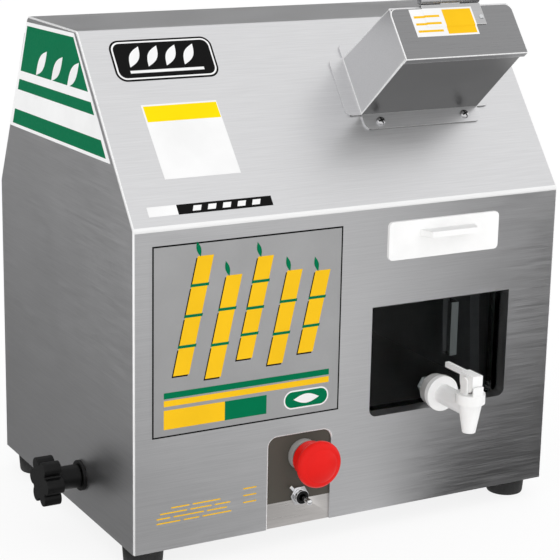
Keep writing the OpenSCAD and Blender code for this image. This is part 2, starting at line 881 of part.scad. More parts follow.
module chute_leaf() {
    knuckle_l = hinge_w * knuckle_share - slide_gap;
    leaf_end = -hinge_r - leaf_clear;
    web_z = hinge_z - web_drop;
    bend = web_z - feed_reach;
    color(steel) in_frame() in_feed() difference() {
        union() {
            along_x(-hinge_w / 2, hinge_w)
                polygon([at_wall(0, -leaf_l), at_wall(leaf_t, -leaf_l), at_wall(leaf_t, leaf_end),
                         at_wall(0, leaf_end)]);
            for (x = [-hinge_w / 2, hinge_w / 2 - knuckle_l]) {
                knuckle(x, knuckle_l);
                along_x(x, knuckle_l)
                    polygon([at_wall(0, -leaf_l), at_wall(leaf_t, -leaf_l), at_wall(leaf_t, bend - leaf_t),
                             [hinge_y, web_z - leaf_t], [hinge_y, web_z], at_wall(0, bend)]);
            }
        }
        rod_x(-hinge_w, 2 * hinge_w, hinge_pin_d / 2 + fixed_fit, [hinge_y, hinge_z]);
    }
}

module hinge_pin() {
    color(dark_steel) in_frame() in_feed()
        rod_x(-hinge_w / 2, hinge_w, hinge_pin_d / 2, [hinge_y, hinge_z]);
}

module feed_lid() {
    w = feed_w + 2 * lid_lap;
    h = mouth_high - lid_top_gap - lid_low;
    color(steel) in_frame() in_feed() {
        translate([-w / 2, lid_low, feed_reach + lid_gap]) linear_extrude(sheet_t) flap(w, h, lid_corner);
        translate([-w / 2, lid_low, feed_reach - lid_lip]) cube([w, sheet_t, lid_lip + lid_gap]);
    }
}

module lid_leaf() {
    knuckle_l = hinge_w * knuckle_share - slide_gap;
    z = hinge_z - leaf_t / 2;
    color(steel) in_frame() in_feed() difference() {
        union() {
            translate([-hinge_w / 2, hinge_y - leaf_l, z])
                cube([hinge_w, leaf_l - hinge_r - leaf_clear, leaf_t]);
            translate([-knuckle_l / 2, hinge_y - leaf_l, z]) cube([knuckle_l, leaf_l, leaf_t]);
            knuckle(-knuckle_l / 2, knuckle_l);
        }
        rod_x(-hinge_w, 2 * hinge_w, hinge_pin_d / 2 + run_fit, [hinge_y, hinge_z]);
    }
}

// Strainer drawer, tray and tank

module strainer_drawer() {
    pull_z = drawer_z + drawer_h * pull_share;
    face_y = -slide_gap - drawer_face_t;
    color(white_plastic) in_frame() {
        along_y(face_y, drawer_face_t)
            translate([mill_x + drawer_shift - drawer_w / 2, drawer_z])
                rounded_square([drawer_w, drawer_h], drawer_corner);
        translate([mill_x, face_y, pull_z]) linear_extrude(pull_t)
            polygon([[-pull_w / 2, cut], [-pull_tip_w / 2, -pull_out],
                     [pull_tip_w / 2, -pull_out], [pull_w / 2, cut]]);
        difference() {
            translate([mill_x - drawer_box_w / 2, -slide_gap - drawer_wall, drawer_box_z])
                cube([drawer_box_w, drawer_l + slide_gap + drawer_wall, drawer_box_h]);
            translate([mill_x - drawer_box_w / 2 + drawer_wall, 0, drawer_box_z + drawer_wall])
                cube([drawer_box_w - 2 * drawer_wall, drawer_l - drawer_wall, drawer_box_h]);
            translate([mill_x - drawer_box_w / 2 + drawer_ledge, drawer_ledge, drawer_box_z - cut])
                cube([drawer_box_w - 2 * drawer_ledge, drawer_l - 2 * drawer_ledge, drawer_box_h]);
        }
    }
}

module strainer_plate() {
    w = drawer_box_w - 2 * drawer_wall - 2 * slide_gap;
    l = drawer_l - drawer_wall - 2 * slide_gap;
    col_pitch = (w - 2 * drawer_ledge) / strainer_cols;
    row_pitch = (l - 2 * drawer_ledge) / strainer_rows;
    color(steel) in_frame() translate([mill_x, slide_gap + l / 2, drawer_box_z + drawer_wall])
        linear_extrude(strainer_t) difference() {
            square([w, l], center = true);
            for (i = [0 : strainer_cols - 1])
                for (j = [0 : strainer_rows - 1])
                    translate([(i + 0.5) * col_pitch - w / 2 + drawer_ledge,
                               (j + 0.5) * row_pitch - l / 2 + drawer_ledge])
                        circle(d = strainer_hole_d);
        }
}

module drawer_rails() {
    reach = mill_gap / 2 - drawer_box_w / 2 + rail_lap;
    z = drawer_box_z - slide_gap - rail_t;
    color(steel) in_frame() for (side = [0, 1])
        translate([mill_x, 0, 0]) mirror([side, 0, 0]) {
            translate([mill_gap / 2 - reach, rail_front, z]) cube([reach, drawer_l - rail_front, rail_t]);
            translate([mill_gap / 2 - rail_t, cheek_front, z])
                cube([rail_t, drawer_l - cheek_front, drawer_box_h]);
        }
}

module juice_tray() {
    spout_l = tray_z - tank_top - spout_gap;
    color(steel) in_frame() difference() {
        union() {
            translate([mill_left, tray_front, tray_z]) cube([mill_gap, tray_back - tray_front, tray_h]);
            translate([mill_x, tray_spout_y, tray_z - spout_l])
                cylinder(h = spout_l + cut, d = tray_spout_d);
        }
        translate([mill_left + tray_wall, tray_front + tray_wall, tray_z + tray_wall])
            cube([mill_gap - 2 * tray_wall, tray_back - tray_front - 2 * tray_wall, tray_h]);
        translate([mill_x, tray_spout_y, tray_z - spout_l - cut])
            cylinder(h = spout_l + tray_h, d = tray_spout_d - 2 * tray_wall);
    }
}

module tank_shelf() {
    l = tank_y + tank_l - window_depth;
    color(steel) in_frame() {
        translate([mill_left, window_depth, sill_h - sheet_t]) cube([mill_gap, l, sheet_t]);
        for (x = [mill_left, mill_right - sheet_t])
            translate([x, cheek_front, sill_h - shelf_fold])
                cube([sheet_t, window_depth + l - cheek_front, shelf_fold]);
    }
}

module juice_tank() {
    fin_z = tank_z + tank_h * fin_low_share;
    color(clear) in_frame() difference() {
        union() {
            along_y(tank_y, tank_l) translate([mill_x - tank_w / 2, tank_z]) {
                rounded_square([tank_w, tank_h], tank_corner);
                translate([0, tank_corner]) square([tank_w, tank_h - tank_corner]);
            }
            translate([mill_x + fin_shift - fin_w / 2, tank_y - fin_out, fin_z])
                cube([fin_w, fin_out + tank_wall / 2, tank_top - fin_z]);
        }
        translate([mill_x - tank_w / 2 + tank_wall, tank_y + tank_wall, tank_z + tank_floor])
            cube([tank_w - 2 * tank_wall, tank_l - 2 * tank_wall, tank_h]);
        rod_y(tank_y - cut, tank_wall + 2 * cut, tap_shank_d / 2 + hole_gap, [tap_x, tap_z]);
    }
}

// Tap

// A disc on the tap's axis, cut flat where it stands on the window sill
module above_sill(r) {
    translate([tap_x, tap_z]) difference() {
        circle(r);
        translate([-r, -r - cut]) square([2 * r, r + cut - tap_rise + slide_gap]);
    }
}

module tap_body() {
    ear_x = hub_w / 2 + ear_gap;
    nozzle_z = tap_nozzle_top - nozzle_l;
    color(white_plastic) in_frame() difference() {
        union() {
            rod_y(tap_flange_y, -slide_gap - tap_flange_y, tap_flange_d / 2, [tap_x, tap_z]);
            along_y(tap_flange_y, tap_flange_t) above_sill(tap_flange_d / 2);
            rod_y(tap_flange_y, tap_flange_t + tap_shank_l, tap_shank_d / 2, [tap_x, tap_z]);
            rod_y(tap_y, tap_flange_y - tap_y, tap_neck_d / 2, [tap_x, tap_z]);
            translate([tap_x, tap_y, nozzle_z]) cylinder(h = nozzle_l, d1 = tap_tip_d, d2 = tap_barrel_d);
            translate([tap_x, tap_y, tap_nozzle_top]) cylinder(h = tap_ring_h, d = tap_ring_d);
            translate([tap_x - hub_w / 2, tap_y - hub_front - ear_gap - guard_t, tap_nozzle_top])
                cube([hub_w, guard_t, hub_z - guard_drop - tap_nozzle_top]);
            for (side = [0, 1])
                translate([tap_x, 0, 0]) mirror([side, 0, 0]) {
                    translate([ear_x, tap_y - ear_w / 2, tap_nozzle_top])
                        cube([ear_t, ear_w, hub_z - tap_nozzle_top]);
                    rod_x(ear_x, ear_t, ear_w / 2, [tap_y, hub_z]);
                }
        }
        rod_y(tap_y, tap_flange_y + tap_flange_t + tap_shank_l - tap_y + cut, tap_bore_d / 2,
              [tap_x, tap_z]);
        translate([tap_x, tap_y, nozzle_z - cut])
            cylinder(h = nozzle_l + cut, d = nozzle_bore_d);
        translate([tap_x, tap_y, tap_nozzle_top - nozzle_l * plunger_seat_share])
            cylinder(h = nozzle_l + tap_ring_h, d = plunger_d + 2 * run_fit);
        rod_x(tap_x - tap_ring_d, 2 * tap_ring_d, trunnion_d / 2 + run_fit, [tap_y, hub_z]);
    }
}

module tap_seals() {
    color(dark_steel) in_frame() for (i = [0, 1])
        difference() {
            along_y(tank_y - (i + 1) * seal_t, seal_t) above_sill(tap_flange_d / 2 - sheet_t);
            rod_y(tank_y - (i + 1) * seal_t - cut, seal_t + 2 * cut, tap_shank_d / 2 + fixed_fit,
                  [tap_x, tap_z]);
        }
}

module tap_back_nut() {
    y = tank_y + tank_wall;
    color(white_plastic) in_frame() difference() {
        hex_y(y, tap_nut_h, tap_nut_across, [tap_x, tap_z]);
        rod_y(y - cut, tap_nut_h + 2 * cut, tap_shank_d / 2 + fixed_fit, [tap_x, tap_z]);
    }
}

module tap_lever() {
    color(white_plastic) in_frame() {
        difference() {
            union() {
                rod_x(tap_x - hub_w / 2, hub_w, hub_r, [tap_y, hub_z]);
                translate([tap_x - hub_w / 2, tap_y - hub_front, hub_z])
                    cube([hub_w, hub_front + hub_r, hub_top]);
            }
            translate([tap_x - hub_w / 2 - cut, tap_y - hub_front - cut, hub_z + hub_top])
                cube([hub_w + 2 * cut, 2 * hub_front + 2 * cut, hub_r]);
            translate([tap_x - hub_w / 2 + fork_t, tap_y - hub_r - cut, hub_z - hub_r - cut])
                cube([hub_w - 2 * fork_t, 2 * hub_r + 2 * cut, hub_r + cut - fork_drop]);
        }
        translate([tap_x - lever_w / 2, tap_y, hub_z + hub_top - lever_t])
            cube([lever_w, tap_lever_l, lever_t]);
        for (x = [tap_x - hub_w / 2 - ear_gap - ear_t, tap_x + hub_w / 2 - fork_t])
            rod_x(x, ear_gap + ear_t + fork_t, trunnion_d / 2, [tap_y, hub_z]);
    }
}

module tap_plunger() {
    seat = tap_nozzle_top - nozzle_l * plunger_seat_share;
    color(dark_steel) in_frame() translate([tap_x, tap_y, seat + slide_gap])
        cylinder(h = tap_ring_top + plunger_out - seat - slide_gap, d = plunger_d);
}

// Switches

estop_x = switch_x + estop_shift;
estop_axis = [estop_x, estop_z];
estop_head_y = sheet_t - collar_out - estop_gap;
toggle_axis = [switch_x, toggle_z];

module switch_plate() {
    color(steel) in_frame() difference() {
        union() {
            translate([plate_x, sheet_t, 0]) cube([plate_w, sheet_t, notch_h + plate_margin]);
            translate([plate_x, sheet_t, base_t]) cube([plate_w, plate_fold, sheet_t]);
        }
        rod_y(0, 2 * sheet_t + cut, estop_barrel_d / 2 + hole_gap, estop_axis);
        rod_y(0, 2 * sheet_t + cut, toggle_bush_d / 2 + hole_gap, toggle_axis);
    }
}

module estop_body() {
    color(dark_steel) in_frame() difference() {
        union() {
            rod_y(sheet_t - collar_out, collar_out, collar_d / 2, estop_axis);
            rod_y(sheet_t, estop_barrel_l, estop_barrel_d / 2, estop_axis);
        }
        rod_y(sheet_t - collar_out - cut, collar_out + estop_barrel_l + 2 * cut,
              estop_stem_d / 2 + run_fit, estop_axis);
        rod_y(sheet_t - collar_out - cut, estop_travel + slide_gap + cut, estop_neck_d / 2 + slide_gap,
              estop_axis);
    }
}

module estop_contacts() {
    color(black_plastic) in_frame() {
        translate([estop_x - contact_w / 2, sheet_t + estop_barrel_l, estop_z - contact_h / 2])
            cube([contact_w, contact_l, contact_h]);
        difference() {
            rod_y(2 * sheet_t, contact_nut_l, contact_nut_d / 2, estop_axis);
            rod_y(sheet_t, contact_nut_l + 2 * sheet_t, estop_barrel_d / 2 + fixed_fit, estop_axis);
        }
    }
}

module estop_stem() {
    front = estop_head_y - estop_head_l * estop_stem_share;
    color(dark_steel) in_frame() {
        rod_y(front, sheet_t + estop_barrel_l - estop_travel - slide_gap - front, estop_stem_d / 2,
              estop_axis);
        rod_y(estop_head_y, estop_gap - slide_gap, estop_neck_d / 2, estop_axis);
    }
}

module estop_head() {
    r = estop_head_d / 2;
    edge = estop_head_d * estop_edge_share;
    dome = estop_head_d * estop_dome_share;
    dome_r = ((r - edge) * (r - edge) + dome * dome) / (2 * dome);
    rim = estop_head_l - dome;
    stem_in = estop_head_l * estop_stem_share;
    color(red) in_frame() translate([estop_x, estop_head_y, estop_z]) rotate([90, 0, 0]) difference() {
        union() {
            cylinder(h = rim - edge, r1 = r * estop_skirt_share, r2 = r * estop_flare_share);
            translate([0, 0, rim - edge]) rotate_extrude() translate([r - edge, 0]) circle(edge);
            translate([0, 0, rim - 2 * edge]) cylinder(h = 2 * edge, r = r - edge);
            translate([0, 0, rim]) intersection() {
                cylinder(h = dome, r = r - edge);
                translate([0, 0, dome - dome_r]) sphere(r = dome_r);
            }
        }
        translate([0, 0, -cut]) cylinder(h = stem_in + slide_gap + cut, r = estop_stem_d / 2 + run_fit);
    }
}

module toggle_body() {
    color(black_plastic) in_frame() difference() {
        union() {
            rod_y(sheet_t - toggle_bush_out, toggle_bush_out + sheet_t, toggle_bush_d / 2, toggle_axis);
            translate([switch_x - toggle_body_w / 2, 2 * sheet_t, toggle_z - toggle_body_h / 2])
                cube([toggle_body_w, toggle_body_l, toggle_body_h]);
        }
        rod_y(sheet_t - toggle_bush_out - cut, toggle_bush_out + cut, toggle_throat_d / 2, toggle_axis);
    }
}

module toggle_nut() {
    color(steel) in_frame() difference() {
        hex_y(sheet_t - toggle_nut_h, toggle_nut_h, toggle_nut_across, toggle_axis);
        rod_y(-toggle_nut_h, 2 * toggle_nut_h + sheet_t, toggle_bush_d / 2 + fixed_fit, toggle_axis);
    }
}

module toggle_lever() {
    color(steel) in_frame() translate([switch_x, sheet_t - toggle_pivot_out, toggle_z]) rotate([90, 0, 0]) {
        sphere(d = toggle_ball_d);
        cylinder(h = toggle_lever_l, d1 = toggle_root_d, d2 = toggle_tip_d);
        translate([0, 0, toggle_lever_l]) sphere(d = toggle_tip_d);
    }
}

// Belt tension

knob_at = [knob_y, knob_z];

module tension_knob() {
    r = knob_d / 2;
    color(black_plastic) in_frame() difference() {
        union() {
            along_x(-knob_reach, knob_t) translate(knob_at) {
                circle(r - knob_d * knob_lobe_share);
                for (i = [0 : knob_lobes - 1])
                    rotate(i * 360 / knob_lobes) translate([r - knob_d * knob_lobe_share, 0])
                        circle(knob_d * knob_lobe_share);
            }
            rod_x(-knob_reach + knob_t / 2, knob_reach - knob_t / 2 - knob_bush_flange_t - slide_gap,
                  knob_hub_d / 2, knob_at);
        }
        rod_x(-knob_reach + knob_t / 2, knob_reach, rod_d / 2 + fixed_fit, knob_at);
    }
}

nut_x = motor_x - carriage_half;

module tension_rod() {
    color(steel) in_frame() {
        rod_x(-knob_reach + knob_t / 2, knob_reach - knob_t / 2 + nut_x + nut_block_w + rod_past_nut,
              rod_d / 2, knob_at);
        rod_x(sheet_t + knob_bush_in + slide_gap, rod_collar_t, rod_collar_d / 2, knob_at);
    }
}

module knob_bush() {
    color(bronze) in_frame() difference() {
        union() {
            rod_x(-knob_bush_flange_t, knob_bush_flange_t, knob_bush_flange_d / 2, knob_at);
            rod_x(-knob_bush_flange_t, knob_bush_flange_t + sheet_t + knob_bush_in, knob_bush_d / 2,
                  knob_at);
        }
        rod_x(-knob_bush_flange_t - cut, knob_bush_flange_t + sheet_t + knob_bush_in + 2 * cut,
              rod_d / 2 + run_fit, knob_at);
    }
}

// Motor and belt

module motor_carriage() {
    color(dark_steel) in_frame() difference() {
        union() {
            translate([nut_x, carriage_y, base_t]) cube([2 * carriage_half, carriage_l, carriage_t]);
            translate([nut_x, knob_y - nut_block_half, base_t])
                cube([nut_block_w, 2 * nut_block_half, knob_z + nut_block_half - base_t]);
        }
        rod_x(nut_x - cut, nut_block_w + 2 * cut, rod_d / 2 + run_fit, knob_at);
    }
}

module motor_housing() {
    start = motor_y + shield_t;
    l = motor_l - 2 * shield_t;
    foot_z = base_t + carriage_t;
    foot_top = motor_z - motor_d / 2 * motor_foot_share;
    color(cast_grey) in_frame() difference() {
        union() {
            rod_y(start, l, motor_d / 2, motor_axis);
            translate([motor_x - motor_foot_half, motor_y + motor_foot_inset, foot_z])
                cube([2 * motor_foot_half, motor_l - 2 * motor_foot_inset, foot_top - foot_z]);
        }
        rod_y(start - cut, l + 2 * cut, motor_d / 2 * stator_share, motor_axis);
    }
}

module motor_end_shields() {
    color(cast_grey) in_frame() for (y = [motor_y, motor_y + motor_l - shield_t])
        difference() {
            rod_y(y, shield_t, motor_d / 2, motor_axis);
            rod_y(y - cut, shield_t + 2 * cut, motor_shaft_d / 2 + run_fit, motor_axis);
        }
}

pulley_w = belt_w + 2 * pulley_rim_t;
shaft_front = belt_y - pulley_w / 2 - shaft_past_pulley;

module motor_rotor() {
    start = motor_y + shield_t + rotor_inset;
    color(steel) in_frame() {
        rod_y(shaft_front, motor_y + motor_l - shaft_front, motor_shaft_d / 2, motor_axis);
        rod_y(start, motor_l - 2 * shield_t - 2 * rotor_inset, motor_d / 2 * stator_share - rotor_gap,
              motor_axis);
    }
}

module pulley(pitch_d, bore_d, at) {
    rim = pitch_d / 2 + belt_out + pulley_lip;
    bottom = pitch_d / 2 + belt_out - belt_h - slide_gap;
    bore = bore_d / 2 + fixed_fit;
    side = pulley_rim_t - slide_gap;
    translate([at[0], belt_y - pulley_w / 2, at[1]]) rotate([-90, 0, 0]) rotate_extrude()
        polygon([[bore, 0], [rim, 0], [rim, side], [bottom, side],
                 [bottom, pulley_w - side], [rim, pulley_w - side], [rim, pulley_w], [bore, pulley_w]]);
}

module motor_pulley() {
    color(dark_steel) in_frame() pulley(motor_pulley_d, motor_shaft_d, motor_axis);
}

module worm_pulley() {
    color(dark_steel) in_frame() pulley(worm_pulley_d, worm_shaft_d, worm_axis);
}

module drive_belt() {
    inside = belt_out - belt_h;
    motor_r = motor_pulley_d / 2;
    worm_r_pitch = worm_pulley_d / 2;
    color(rubber) in_frame() along_y(belt_y - belt_w / 2, belt_w) difference() {
        polygon(belt_loop(motor_axis, motor_r + belt_out, worm_axis, worm_r_pitch + belt_out));
        polygon(belt_loop(motor_axis, motor_r + inside, worm_axis, worm_r_pitch + inside));
    }
}

// Gearbox

module gearbox_housing() {
    w = gearbox_w - gearbox_cover_t;
    h = gearbox_top - gearbox_z;
    x = gearbox_x + gearbox_cover_t;
    color(cast_grey) in_frame() difference() {
        translate([x, gearbox_front, gearbox_z]) cube([w, 2 * gearbox_half, h]);
        translate([x - cut, gearbox_front + gearbox_wall, gearbox_z + gearbox_wall])
            cube([w - gearbox_wall + cut, 2 * (gearbox_half - gearbox_wall), h - 2 * gearbox_wall]);
        rod_x(x, w + cut, shaft_d / 2 + run_fit, top_axis);
        rod_y(gearbox_front - cut, 2 * gearbox_half - gearbox_wall / 2, worm_shaft_d / 2 + run_fit,
              worm_axis);
    }
}

module gearbox_cover() {
    color(cast_grey) in_frame() difference() {
        translate([gearbox_x, gearbox_front, gearbox_z])
            cube([gearbox_cover_t, 2 * gearbox_half, gearbox_top - gearbox_z]);
        rod_x(gearbox_x - cut, gearbox_cover_t + 2 * cut, shaft_d / 2 + run_fit, top_axis);
    }
}

module worm_shaft() {
    ring_l = worm_l / (2 * worm_rings - 1);
    first = top_axis[0] - worm_l / 2;
    back = gearbox_front + 2 * gearbox_half - gearbox_wall / 2 - 2 * cut;
    color(steel) in_frame() {
        rod_y(shaft_front, back - shaft_front, worm_shaft_d / 2, worm_axis);
        rod_y(first, worm_l, worm_r * worm_core_share, worm_axis);
        for (i = [0 : worm_rings - 1])
            rod_y(first + 2 * i * ring_l, ring_l, worm_r, worm_axis);
    }
}

module worm_wheel() {
    color(bronze) in_frame() along_x(gearbox_mid - worm_wheel_w / 2, worm_wheel_w) translate(top_axis)
        difference() {
        circle(worm_wheel_r);
        circle(shaft_d / 2 + fixed_fit);
        for (i = [0 : worm_teeth - 1])
            rotate(i * 360 / worm_teeth) translate([worm_wheel_r, 0])
                square([2 * worm_tooth, worm_tooth], center = true);
    }
}

// Mill

module roller_bores(start, r) {
    for (at = [top_axis, feed_axis, discharge_axis])
        rod_x(start - cut, cheek_t + 2 * cut, r, at);
}

module cheek(start) {
    difference() {
        along_x(start, cheek_t)
            polygon([[cheek_front, base_t], [cheek_back, base_t], [cheek_back, cheek_waist],
                     [discharge_axis[0] + cheek_back_margin, discharge_axis[1]],
                     [top_axis[0] + cheek_top_half, top_axis[1] + cheek_top_rise],
                     [top_axis[0] - cheek_top_half, top_axis[1] + cheek_top_rise],
                     [feed_axis[0] - cheek_margin, feed_axis[1]], [cheek_front, cheek_waist]]);
        roller_bores(start, shaft_d / 2 + bush_t + fixed_fit);
        for (at = tie_places)
            rod_x(start - cut, cheek_t + 2 * cut, tie_bar_d / 4 + fixed_fit, at);
    }
}

module left_cheek() {
    face = mill_left - cheek_t;
    under = gearbox_z - shelf_t;
    color(dark_steel) in_frame() {
        cheek(face);
        translate([gearbox_x, gearbox_front, gearbox_z - shelf_t])
            cube([face - gearbox_x, 2 * gearbox_half, shelf_t]);
        for (y = [gearbox_front, gearbox_front + 2 * gearbox_half - shelf_t])
            along_y(y, shelf_t)
                polygon([[face, under], [face, under - gusset], [face - gusset, under]]);
    }
}

module right_cheek() {
    color(dark_steel) in_frame() cheek(mill_right);
}

module roller_bushes() {
    color(bronze) in_frame() for (x = [mill_left - cheek_t, mill_right])
        for (at = [top_axis, feed_axis, discharge_axis])
            difference() {
                rod_x(x, cheek_t, shaft_d / 2 + bush_t, at);
                rod_x(x - cut, cheek_t + 2 * cut, shaft_d / 2 + run_fit, at);
            }
}

module trash_plate() {
    inside = roller_r + trash_gap;
    reach = 2 * (inside + trash_t);
    middle = feed_dir + mill_spread / 2;
    color(steel) in_frame() along_x(mill_left, mill_gap) translate(top_axis) intersection() {
        difference() {
            circle(inside + trash_t);
            circle(inside);
        }
        polygon([[0, 0], polar(reach, middle - trash_half_angle), polar(reach, middle + trash_half_angle)]);
    }
}

// Each bar is stepped at its ends, passes through both cheeks and carries a nut outside each
module tie_bars() {
    ends = [mill_left - cheek_t - tie_nut_h, mill_right + cheek_t];
    color(steel) in_frame() for (at = tie_places) {
        rod_x(mill_left, mill_gap, tie_bar_d / 2, at);
        rod_x(ends[0], ends[1] + tie_nut_h - ends[0], tie_bar_d / 4, at);
        for (x = ends)
            translate([x, at[0], at[1]]) rotate([0, 90, 0])
                cylinder(h = tie_nut_h, r = tie_nut_across / 2 * hex_share, $fn = 6);
    }
}

module roller(at, shaft_start) {
    l = mill_gap - 2 * roller_side_gap;
    along_x(mill_left + roller_side_gap, l) translate(at) difference() {
        circle(roller_r);
        for (i = [0 : roller_grooves - 1])
            rotate(i * 360 / roller_grooves) translate([roller_r, 0]) rotate(45)
                square(roller_groove, center = true);
    }
    rod_x(shaft_start, mill_right + cheek_t + shaft_stub - shaft_start, shaft_d / 2, at);
}

module top_roller() {
    color(steel) in_frame() roller(top_axis, gearbox_x - shaft_stub);
}

module feed_roller() {
    color(steel) in_frame() roller(feed_axis, gear_x);
}

module discharge_roller() {
    color(steel) in_frame() roller(discharge_axis, gear_x);
}

// One involute tooth, centred on the given angle
function tooth(angle) =
    let (base_r = gear_pitch_d / 2 * cos(pressure_angle),
         tip = sqrt(pow(gear_tip_r / base_r, 2) - 1),
         half = 90 / gear_teeth - gear_backlash / gear_pitch_d * 90 / PI,
         foot = half + tan(pressure_angle) * 180 / PI - pressure_angle,
         flank = [for (k = [0 : flank_steps]) let (t = tip * k / flank_steps)
                     [base_r * sqrt(1 + t * t), foot - t * 180 / PI + atan(t)]])
    concat([polar(gear_root_r, angle - foot)],
           [for (p = flank) polar(p[0], angle - p[1])],
           [for (p = backwards(flank)) polar(p[0], angle + p[1])],
           [polar(gear_root_r, angle + foot)]);

module gear(at, phase) {
    along_x(gear_x, gear_w) translate(at) difference() {
        polygon([for (i = [0 : gear_teeth - 1]) each tooth(phase + i * 360 / gear_teeth)]);
        circle(shaft_d / 2 + fixed_fit);
    }
}

// Turns a gear so that it meshes with the top gear, which it sees in the given direction
function mesh_phase(direction) = 2 * direction + 180 - 180 / gear_teeth;

module top_gear() {
    color(dark_steel) in_frame() gear(top_axis, 0);
}

module feed_gear() {
    color(dark_steel) in_frame() gear(feed_axis, mesh_phase(feed_dir));
}

module discharge_gear() {
    color(dark_steel) in_frame() gear(discharge_axis, mesh_phase(discharge_dir));
}

front_panel();
rear_panel();
left_side_panel();
right_side_panel();
base_plate();
switch_plate();
feet();
foot_bolts();
pan_screws();
cable_gland();
feed_chute();
chute_leaf();
hinge_pin();
feed_lid();
lid_leaf();
bagasse_chute();
strainer_drawer();
strainer_plate();
drawer_rails();
juice_tray();
tank_shelf();
juice_tank();
tap_body();
tap_seals();
tap_back_nut();
tap_lever();
tap_plunger();
estop_body();
estop_contacts();
estop_stem();
estop_head();
toggle_body();
toggle_nut();
toggle_lever();
tension_knob();
tension_rod();
knob_bush();
motor_carriage();
motor_housing();
motor_end_shields();
motor_rotor();
motor_pulley();
drive_belt();
gearbox_housing();
gearbox_cover();
worm_shaft();
worm_pulley();
worm_wheel();
left_cheek();
right_cheek();
roller_bushes();
trash_plate();
tie_bars();
top_roller();
feed_roller();
discharge_roller();
top_gear();
feed_gear();
discharge_gear();
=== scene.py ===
"""Looks of the electric sugarcane juicer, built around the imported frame."""

import json
import math

import bmesh
import bpy
from mathutils import Matrix, Vector

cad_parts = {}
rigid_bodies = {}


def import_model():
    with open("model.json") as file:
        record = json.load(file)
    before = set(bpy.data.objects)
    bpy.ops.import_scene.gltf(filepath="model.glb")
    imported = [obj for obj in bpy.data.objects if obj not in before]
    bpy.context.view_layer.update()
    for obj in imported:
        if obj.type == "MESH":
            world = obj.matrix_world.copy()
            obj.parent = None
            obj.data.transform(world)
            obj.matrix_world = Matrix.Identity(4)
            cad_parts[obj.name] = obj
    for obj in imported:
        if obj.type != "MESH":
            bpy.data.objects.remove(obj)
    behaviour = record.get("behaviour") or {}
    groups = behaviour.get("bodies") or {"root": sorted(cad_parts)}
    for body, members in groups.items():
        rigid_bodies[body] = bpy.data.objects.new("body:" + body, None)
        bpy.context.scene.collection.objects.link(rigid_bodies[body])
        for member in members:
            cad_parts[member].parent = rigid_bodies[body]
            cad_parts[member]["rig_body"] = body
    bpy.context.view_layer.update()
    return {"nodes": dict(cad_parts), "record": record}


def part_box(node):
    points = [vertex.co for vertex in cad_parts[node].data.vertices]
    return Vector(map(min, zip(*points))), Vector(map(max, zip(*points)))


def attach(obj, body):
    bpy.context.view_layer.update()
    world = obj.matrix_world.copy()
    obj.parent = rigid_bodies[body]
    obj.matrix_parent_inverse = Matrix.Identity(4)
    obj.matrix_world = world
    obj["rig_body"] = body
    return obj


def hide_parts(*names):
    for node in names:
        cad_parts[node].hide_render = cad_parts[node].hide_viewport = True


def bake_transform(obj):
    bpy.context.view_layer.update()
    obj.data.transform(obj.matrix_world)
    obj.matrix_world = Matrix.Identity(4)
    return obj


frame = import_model()

MM = 0.001
NODES = frame["nodes"]
SLOT_OF = {part["node"]: part["material_slot"] for part in frame["record"]["subparts"]}
SCENE = bpy.context.scene

X = Vector((1, 0, 0))
Y = Vector((0, 1, 0))
Z = Vector((0, 0, 1))

# Cosines: above the first, two directions count as one, and below the others, as more or less square
ALIGNED = 0.9
NOT_ALIGNED = 0.5
SQUARE = 0.3
NEARLY_SQUARE = 0.1


# Places worked out from the frame

ROUGH_SLOPE = Vector((0, -0.78, 0.62))
# The photo's point of view in millimetres across, up and out from the front's lower left corner
EYE_PLACE = (-552.65, 591.15, 1227.52)


def main_normal(node, wanted):
    """Normal of the faces with the largest area among those that look the wanted way."""
    areas = {}
    for face in NODES[node].data.polygons:
        if face.normal.dot(wanted) > ALIGNED:
            key = tuple(round(value, 4) for value in face.normal)
            areas[key] = areas.get(key, 0) + face.area
    return Vector(max(areas, key=areas.get)).normalized()


def reach(node, direction, origin):
    """Lowest and highest distance of a node from an origin along a direction."""
    distances = [(v.co - origin).dot(direction) for v in NODES[node].data.vertices]
    return min(distances), max(distances)


def middle_of(node):
    """Middle of a node's box."""
    low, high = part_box(node)
    return (low + high) / 2


class Panel:
    """A flat place: an origin, two directions on it, and the way out of it."""

    def __init__(self, origin, across, up):
        self.origin = origin
        self.across = across
        self.up = up
        self.out = across.cross(up).normalized()

    def at(self, u, v, lift=0.0):
        """A point from millimetres across, up and out."""
        return self.origin + (self.across * u + self.up * v + self.out * lift) * MM

    def place(self, point):
        """Millimetres across and up of a point."""
        offset = (point - self.origin) / MM
        return offset.dot(self.across), offset.dot(self.up)


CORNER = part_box("front_panel")[0]
SLOPE_OUT = main_normal("front_panel", ROUGH_SLOPE)
SLOPE_UP = X.cross(-SLOPE_OUT).normalized()
OUT_OF_SLOPE = reach("front_panel", SLOPE_OUT, CORNER)[1]
CREASE = CORNER + Z * (OUT_OF_SLOPE / SLOPE_OUT.z)

FRONT = Panel(CORNER, X, Z)
SLOPE = Panel(CREASE, X, SLOPE_UP)
LEFT = Panel(CORNER, -Y, Z)
LID_LOW = reach("feed_lid", SLOPE_UP, CREASE)[0]
LID_OUT = reach("feed_lid", SLOPE_OUT, CREASE)[1]
LID = Panel(CREASE + SLOPE_UP * LID_LOW + SLOPE_OUT * LID_OUT, X, SLOPE_UP)
EYE = FRONT.at(*EYE_PLACE)


# Material building blocks

# Colour sockets of Blender's mix node
MIX_FIRST, MIX_SECOND, MIX_RESULT = 6, 7, 2
# Features per metre of the brushed streaks and of the clouds, and the share of it along a streak
STREAKS = 1400
CLOUDS = 14
ALONG_STREAK = 0.02


